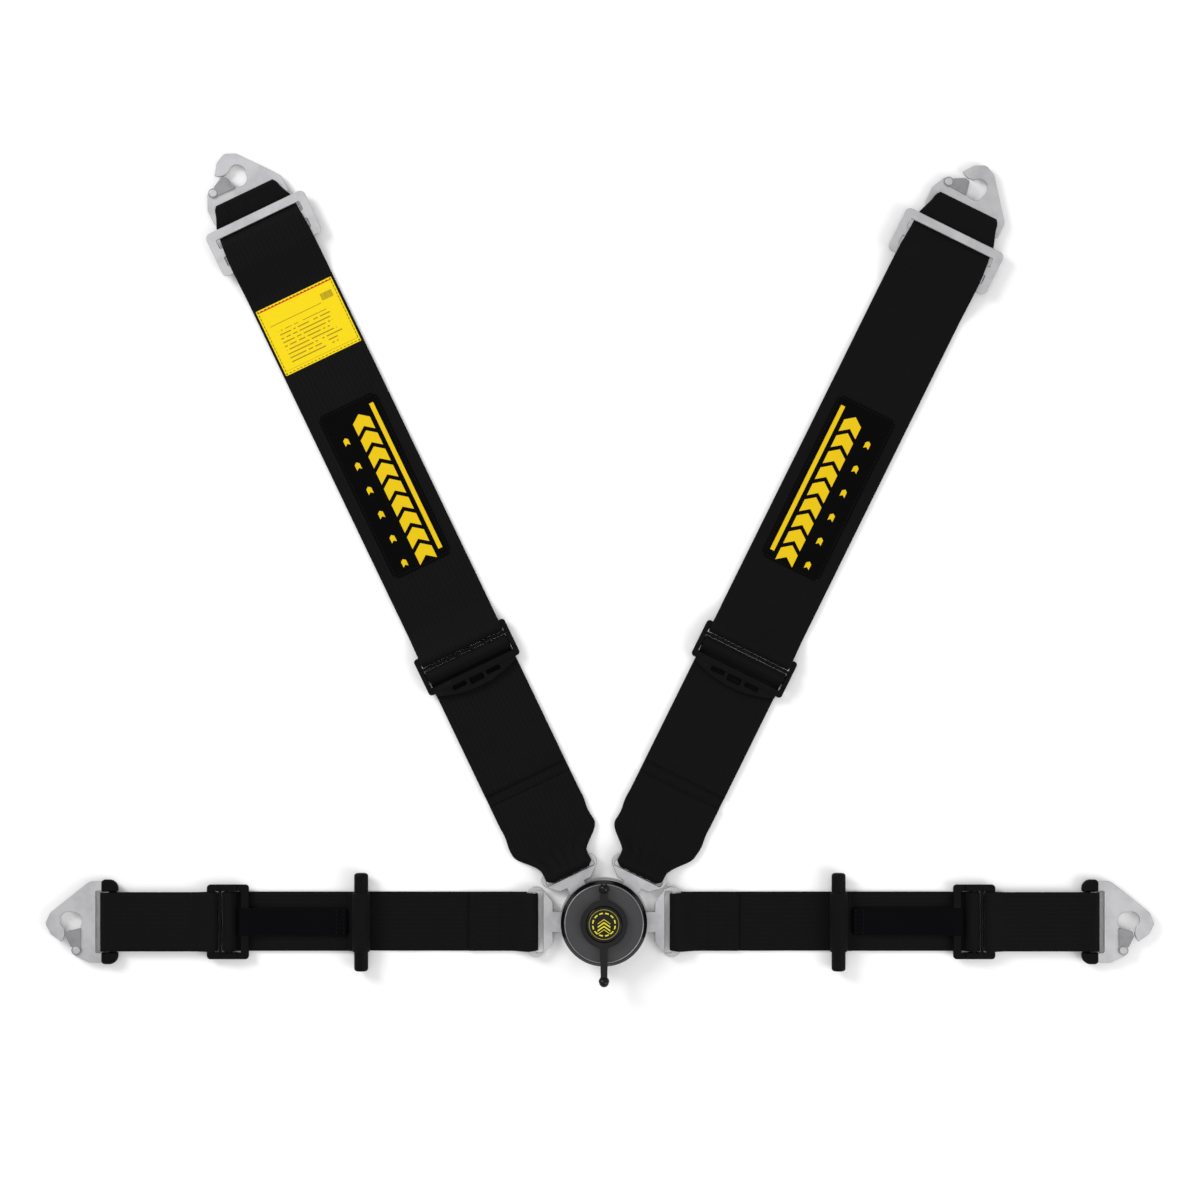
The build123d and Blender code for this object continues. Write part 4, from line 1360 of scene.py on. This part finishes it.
@dataclass
class ShoulderArm(Arm):
    """A three-inch belt: tongue, belt, adjuster, upper strap with patch and slide, hook."""

    half: float = 38.0
    extra: tuple[tuple[str, Finishes], ...] = (("slide", Finishes.STEEL),)
    gathered: float = 21.4
    slotted: float = 25.3
    turn_back: float = 130.0
    hem: float = 140.0
    main_z: float = 2.55
    lie_z: float = 1.15
    patch: tuple[float, float, float] = (342.0, 154.0, 55.0)
    label: tuple[float, float, float] = (540.0, 61.0, 71.5)

    def build(self) -> None:
        """Builds every soft piece of the arm, rides all but the upper strap's webbing on its bodies, and
        dresses its hard ones.
        """
        self.belt()
        self.upper()
        self.patches()
        self.dress()

    def belt(self) -> None:
        """The belt, gathered where it loops through the tongue, and its tail."""
        bar, _ = self.bar("belt_swing")
        lock, lock_z = self.bar("adjuster_tilt")
        low = lock_z - self.wrap
        upper = low + STEP
        radius = self.plane - low
        bends = [
            (self.turn_back, upper, 0),
            (bar + self.lead, upper + self.bend, -self.bend),
            (bar - 2.1, self.plane + 1.4, radius - 0.5),
            (bar, self.plane, radius),
            (lock + self.slack, lock_z, self.wrap),
            (lock - self.inner_gap, upper + self.inner_bend, -self.inner_bend),
            (self.hem, upper, 0),
        ]

        def half(stop: Stop) -> float:
            """Bunched up in the tongue's slot, then fanning out to the full width."""
            fan = smooth(stop.x, bar + 4.5, bar + 27) ** 0.85
            corner = 4.2 * (1 - smooth(stop.x, bar - 7.4, bar - 3.0))
            return self.gathered - corner + (self.half - self.gathered) * fan

        def lift(stop: Stop, v: float) -> float:
            """Folds from the gathering that die out along the belt."""
            share = 1 - smooth(stop.x, bar + 8, bar + 62)
            place = v / half(stop)
            fold = 0.5 + 0.5 * math.cos(place * math.pi * 5.0 + 0.9 * math.sin(place * 4.0))
            near = smooth(stop.x, bar + 2, bar + 14)
            drop = fold * (0.55 + 0.75 * near) * share if stop.run < loop_end else 0.0
            free = (1 - share) * (1 - smooth(stop.x, lock - 38, lock - 22))
            sway = (0.3 + 0.3 * wave(stop.x + v * 0.4)) * free
            return sway * math.cos(stop.heading) - drop

        def edge(stop: Stop, side: float) -> float:
            """The selvedges wander where the webbing is drawn together."""
            near = smooth(stop.x, bar, bar + 8) * (1 - smooth(stop.x, bar + 36, bar + 60))
            return 0.9 * near * math.sin(stop.x / 5.3 + side * 1.9 + self.offset)

        stops = route(bends, 3.0, 0.17)
        loop_end = next(s.run for s in stops if s.x < bar and s.z < self.plane)
        wave = ripple(self.offset, 71.0, 43.0, 131.0)
        strap = Strap(f"{self.name}_belt_webbing", stops, half, columns=40, lift=lift, edge=edge)
        piece = strap.build(self, Finishes.WEBBING)
        self.add(piece, f"{self.name}_belt_run", "webbing", f"{self.name}_belt")
        strap.area()
        top = upper + HALF_THICK + 0.35
        rows = [self.line(x, -35.0, x, 35.0, top) for x in (self.hem + 3.5, self.hem + 19.0)]
        self.add(self.sew("belt_stitches", rows), f"{self.name}_belt_run", "webbing")

    def upper(self) -> None:
        """The strap from the adjuster's outer bar through the slide to the hook and back."""
        near, _ = self.bar("strap_swing")
        far, far_z = self.bar("hook_swing")
        first, _ = self.span(f"{self.name}_slide")
        bars = [(first + 16 * i + 0.4, first + 16 * i + 7.6) for i in range(3)]
        top, low, tight, wide = 10.1, 7.9, 1.2, 2.6
        bends = [
            (430.0, self.lie_z, 0),
            (near + 24, self.lie_z + 20, -20),
            (near - self.bar_slack, self.plane, -self.bar_loop),
            (near + 26, self.main_z + 14, 14),
            (first - 32, self.main_z + 20, 20),
            (bars[0][0], top, -tight),
            (bars[1][0], top, -wide),
            (bars[1][1], top, -wide),
            (bars[2][0], low, tight),
            (bars[2][1], low, tight),
            (far + 11.4, far_z + 3.95, -1.55),
            (far + 7.6, far_z + 0.3, 2.1),
            (far, far_z, -self.hook_loop),
            (bars[2][0], low, -wide),
            (bars[1][1], top, tight),
            (bars[1][0], top, tight),
            (bars[0][1], low, -tight),
            (first - 26, self.lie_z + 0.1, 0),
        ]
        stops = route(bends, 3.0, 0.22)
        reach = max(s.x for s in stops)
        around = next(s.run for s in stops if s.x > reach - 0.01)

        def half(stop: Stop) -> float:
            """Full width to the slide, bunched over the hook, and narrow inside the hook's slot."""
            if stop.run < around:
                ease = smooth(stop.x, first + 2, first + 38) * 1.9
                ease += smooth(stop.x, first + 36, far + 10) * 6.4
                return self.half - ease - 2.4 * smooth(stop.x, reach - 3.4, reach)
            under = 2.6 * smooth(stop.x, far + 9.5, far + 14.5)
            open_up = 1 - smooth(stop.x, first + 8, far - 6)
            return self.slotted + under + (self.half - self.slotted) * open_up

        wave = ripple(self.offset + 3.0, 83.0, 47.0, 127.0)
        patch_end = self.patch[0] + self.patch[1]

        def lift(stop: Stop, v: float) -> float:
            """Soft sway between the sewn patches, and shallow folds by the hook."""
            low_part = (near + 30, near + 45, self.patch[0] - 12, self.patch[0] - 2)
            high_part = (patch_end + 2, patch_end + 12, self.label[0] - 12, self.label[0] - 2)
            sway = 0.0
            for a, b, c, d in (low_part, high_part):
                sway += smooth(stop.x, a, b) * (1 - smooth(stop.x, c, d))
            fold = smooth(stop.x, first + 41, first + 46) if stop.run < around - 1.5 else 0.0
            crease = 0.5 + 0.5 * math.cos(v / half(stop) * math.pi * 4.0 + 0.6 + 0.05 * stop.x)
            soft = (0.25 + 0.25 * wave(stop.x + v * 0.4)) * sway * math.cos(stop.heading)
            return soft + 0.8 * fold * crease

        strap = Strap(f"{self.name}_upper_webbing", stops, half, columns=34, lift=lift)
        piece = strap.build(self, Finishes.WEBBING)
        start, end = self.point(far - 4.5, 0.0, far_z), self.point(far + 1.0, 0.0, far_z)
        tuple(start)
        tuple(end)
        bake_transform(piece)
        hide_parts(f"{self.name}_upper_strap")
        strap.area()
        top = self.main_z + HALF_THICK + PROUD
        rows = [self.line(near + x, -35.0, near + x, 35.0, top + 0.1) for x in (44.0, 50.0)]
        self.add(self.sew("upper_stitches", rows), f"{self.name}_upper_run", "webbing")

    def patches(self) -> None:
        """The printed patch and, on the left, the care label, with their border stitches."""
        start, length, width = self.patch
        z = self.main_z + 0.67
        outline = rounded(start, start + length, width / 2, 6.0, 6)
        piece = sheet_patch(f"{self.name}_patch_cloth", self, outline, z, 0.78, Finishes.PATCH)
        self.add(piece, f"{self.name}_upper_run", "patch_black", f"{self.name}_patch")
        top = z + 0.78
        self.border("patch_stitches", start, start + length, width / 2, 1.8, top)
        inner = -1 if self.side == "left" else 1
        self.print_blocks(start, length, inner, top)
        if self.side == "left":
            start, length, width = self.label
            outline = rounded(start, start + length, width / 2, 0.8, 2)
            piece = sheet_patch(f"{self.name}_label_cloth", self, outline, z, 0.38, Finishes.LABEL)
            self.add(piece, f"{self.name}_upper_run", "label_yellow", f"{self.name}_label")
            self.border("label_stitches", start, start + length, width / 2, 1.4, z + 0.38)

    def border(self, what: str, x1: float, x2: float, half: float, inset: float, top: float) -> None:
        """Stitches just inside a rectangle's edge."""
        corners = [(x1 + inset, -half + inset), (x2 - inset, -half + inset)]
        corners += [(x2 - inset, half - inset), (x1 + inset, half - inset)]
        rows = [self.line(*a, *b, top) for a, b in zip(corners, corners[1:] + corners[:1])]
        self.add(self.sew(what, rows), f"{self.name}_upper_run", "webbing")

    def print_blocks(self, start: float, length: float, inner: int, top: float) -> None:
        """A long stripe, a row of chevrons and a row of small marks, all yellow."""
        tree = ChevronTree()
        first, last = start + 8.0, start + length - 8.0
        rows = [
            ("chevrons", (last - first) / 9, 9, 11.2, 8.0, inner * 6.0),
            ("stripe", last - first, 1, last - first, 1.9, inner * 20.0),
            ("marks", (last - first) / 6, 6, 5.2, 2.3, inner * -13.5),
        ]
        for what, pitch, count, size, half, across in rows:
            slant = 0.0 if what == "stripe" else 0.75
            name = f"{self.name}_patch_{what}"
            row = Row(count, pitch, size, half, slant)
            made = tree.print_row(name, row, Finishes.PRINT)
            place = Matrix.Translation((first * MM, across * MM, (top - 0.02) * MM))
            made.data.transform(self.matrix() @ place)
            self.add(made, f"{self.name}_upper_run", "label_yellow")


def dress(node: str, finish: Finishes) -> None:
    """Gives a carried-over node its finish."""
    materials = bpy.data.objects[node].data.materials
    materials.clear()
    materials.append(finish.make())


@dataclass(frozen=True)
class Buckle:
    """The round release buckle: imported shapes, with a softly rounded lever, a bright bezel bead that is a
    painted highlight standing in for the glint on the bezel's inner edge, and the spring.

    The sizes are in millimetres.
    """

    hub: float = 20.0
    cap: float = 15.6
    seat: float = 25.35
    low: float = 22.5
    high: float = 27.4
    stem: float = 3.3
    ball: float = 4.2
    ball_z: float = 26.68
    ends: tuple[float, float] = (-53.5, 34.5)
    rounding: float = 1.1
    # the bezel bead's ring radius and wire radius; the bead is a painted highlight
    highlight_bead: float = 33.35
    highlight_bead_r: float = 0.42
    rim: float = 22.0
    coil: tuple[float, float, float] = (8.2, 12.05, 17.7)
    coils: float = 2.5
    wire: float = 0.7
    ceiling: float = 18.5
    flattened: float = 0.22
    finishes: tuple[tuple[str, Finishes], ...] = (
        ("buckle_back_plate", Finishes.STEEL),
        ("buckle_guide_block", Finishes.ALLOY),
        ("buckle_housing", Finishes.GLOSS),
        ("buckle_face", Finishes.FACE),
        ("base_screws", Finishes.STEEL),
        ("fixed_tongue_pin", Finishes.INNER),
        ("spindle", Finishes.INNER),
        ("spindle_circlip", Finishes.INNER),
        ("release_cam", Finishes.INNER),
        ("pin_carrier", Finishes.ALLOY),
        ("latch_pins", Finishes.INNER),
        ("lever_cap", Finishes.EMBLEM),
    )

    def build(self) -> None:
        """Builds the lever, the highlight bead and the spring, and gives every other piece its finish."""
        for node, finish in self.finishes:
            dress(node, finish)
        self.lever()
        self.add_highlight_bead()
        self.spring()

    def width(self, y: float) -> float:
        """Half the lever's width at a place along it: hub, stem and ball flowing into each other."""
        low, high = self.ends
        hub = math.sqrt(max(0.0, self.hub**2 - y * y))
        stem = self.stem * (0.85 + 0.15 * (1 - smooth(abs(y), self.hub, -low)))
        stem *= 1.0 if low + self.ball < y < high - self.ball else 0.0
        centres = (low + self.ball, high - self.ball)
        balls = [math.sqrt(max(0.0, self.ball**2 - (y - c) ** 2)) for c in centres]
        return (hub**3 + stem**3 + sum(b**3 for b in balls)) ** (1 / 3)

    def lever(self) -> None:
        """The two-armed lever as one softened casting round the cap, a ball at the end of each arm."""
        low, high = self.ends
        steps = 150
        eased = [0.5 - 0.5 * math.cos(math.pi * k / steps) for k in range(steps + 1)]
        places = [low + (high - low) * share for share in eased]
        side = [(self.width(y), y) for y in places[1:-1]]
        outline = [(0.0, low), *side, (0.0, high), *[(-x, y) for x, y in reversed(side)]]
        body = prism("release_lever_casting", outline, self.low, self.high, Finishes.GLOSS)
        turn = [TURN * k / 96 for k in range(96)]
        circle = [(self.cap * math.cos(a), self.cap * math.sin(a)) for a in turn]
        recess = prism("lever_recess", circle, self.seat, self.high + 5, Finishes.GLOSS)
        cut = body.modifiers.new("recess", "BOOLEAN")
        cut.operation = "DIFFERENCE"
        cut.object = recess
        soft = body.modifiers.new("soft", "BEVEL")
        soft.width = self.rounding * MM
        soft.segments = 4
        soft.angle_limit = math.radians(40)
        settle(body)
        bpy.data.objects.remove(recess)
        bm = bmesh.new()
        bm.from_mesh(body.data)
        for y in (low + self.ball, high - self.ball):
            at = Matrix.Translation((0.0, y * MM, self.ball_z * MM))
            bmesh.ops.create_uvsphere(bm, u_segments=40, v_segments=20, radius=self.ball * MM, matrix=at)
        for face in bm.faces:
            face.smooth = True
        bm.to_mesh(body.data)
        bm.free()
        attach(body, "lever")
        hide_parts("release_lever")
        log.info("%s rides on lever", body.name)

    def spring(self) -> None:
        """The carrier's spring as a fixed coil that rides on the buckle."""
        radius, low, high = self.coil
        piece = coil("carrier_spring_coil", (radius, low, high), self.coils, self.wire, 110, Finishes.INNER)
        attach(piece, "buckle")
        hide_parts("carrier_spring")
        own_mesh(piece)

    def add_highlight_bead(self) -> None:
        """A bright rolled bead between the bezel and the face: a painted highlight that stands in for the
        glint on the bezel's inner edge.
        """
        place = (self.highlight_bead, self.rim, self.rim)
        highlight_bead = coil("buckle_bezel_highlight_bead", place, 1.0, self.highlight_bead_r, 160, Finishes.HIGHLIGHT_BEAD)
        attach(highlight_bead, "buckle")


@dataclass(frozen=True)
class Studio:
    """Floor, soft lights and the camera straight above. Sizes in metres, powers in watts."""

    middle: tuple[float, float] = (-0.0034, 0.276)
    across: float = 1.032
    lens: float = 85.0
    sensor: float = 36.0
    floor: float = 30.0
    air: float = 0.62
    lamps: tuple[tuple[str, tuple[float, float, float], float, float], ...] = (
        ("key_light", (-2.3, 1.9, 2.0), 1.3, 62.0),
        ("fill_light", (2.3, -0.9, 1.9), 1.6, 34.0),
        ("top_light", (0.0, 0.3, 3.4), 2.8, 14.0),
    )

    def build(self) -> None:
        """Builds the stage and sets the scene's camera and world."""
        bm = bmesh.new()
        bmesh.ops.create_grid(bm, x_segments=1, y_segments=1, size=self.floor / 2)
        floor = mesh_object("studio_floor", bm, Finishes.FLOOR, smooth=False)
        self.camera()
        for lamp in self.lamps:
            self.light(*lamp)
        world = bpy.data.worlds.new("studio_air")
        world.use_nodes = True
        ground = world.node_tree.nodes["Background"]
        ground.inputs["Color"].default_value = (1.0, 1.0, 1.0, 1.0)
        ground.inputs["Strength"].default_value = self.air
        bpy.context.scene.world = world
        bpy.context.scene.view_settings.view_transform = "Standard"

    def camera(self) -> None:
        """A long lens looking straight down."""
        data = bpy.data.cameras.new("camera")
        data.lens = self.lens
        data.sensor_width = self.sensor
        data.clip_start = 0.05
        camera = bpy.data.objects.new("camera", data)
        camera.location = (*self.middle, self.across * self.lens / self.sensor)
        bpy.context.scene.collection.objects.link(camera)
        bpy.context.scene.camera = camera

    def light(self, name: str, place: tuple[float, float, float], size: float, power: float) -> None:
        """A square soft light aimed at the harness."""
        data = bpy.data.lights.new(name, "AREA")
        data.size = size
        data.energy = power
        lamp = bpy.data.objects.new(name, data)
        lamp.location = place
        aim = Vector((*self.middle, 0.0)) - lamp.location
        lamp.rotation_euler = aim.to_track_quat("-Z", "Y").to_euler()
        bpy.context.scene.collection.objects.link(lamp)


def main() -> None:
    """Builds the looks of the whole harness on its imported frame."""
    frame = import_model()
    joints = {joint["name"]: joint for joint in frame["joints"]}
    Buckle().build()
    for side in ("left", "right"):
        LapArm("lap", side, joints).build()
        ShoulderArm("shoulder", side, joints).build()
    Studio().build()
    log.info("harness built")


if __name__ == "__main__":
    logging.basicConfig(level=logging.INFO)
    main()
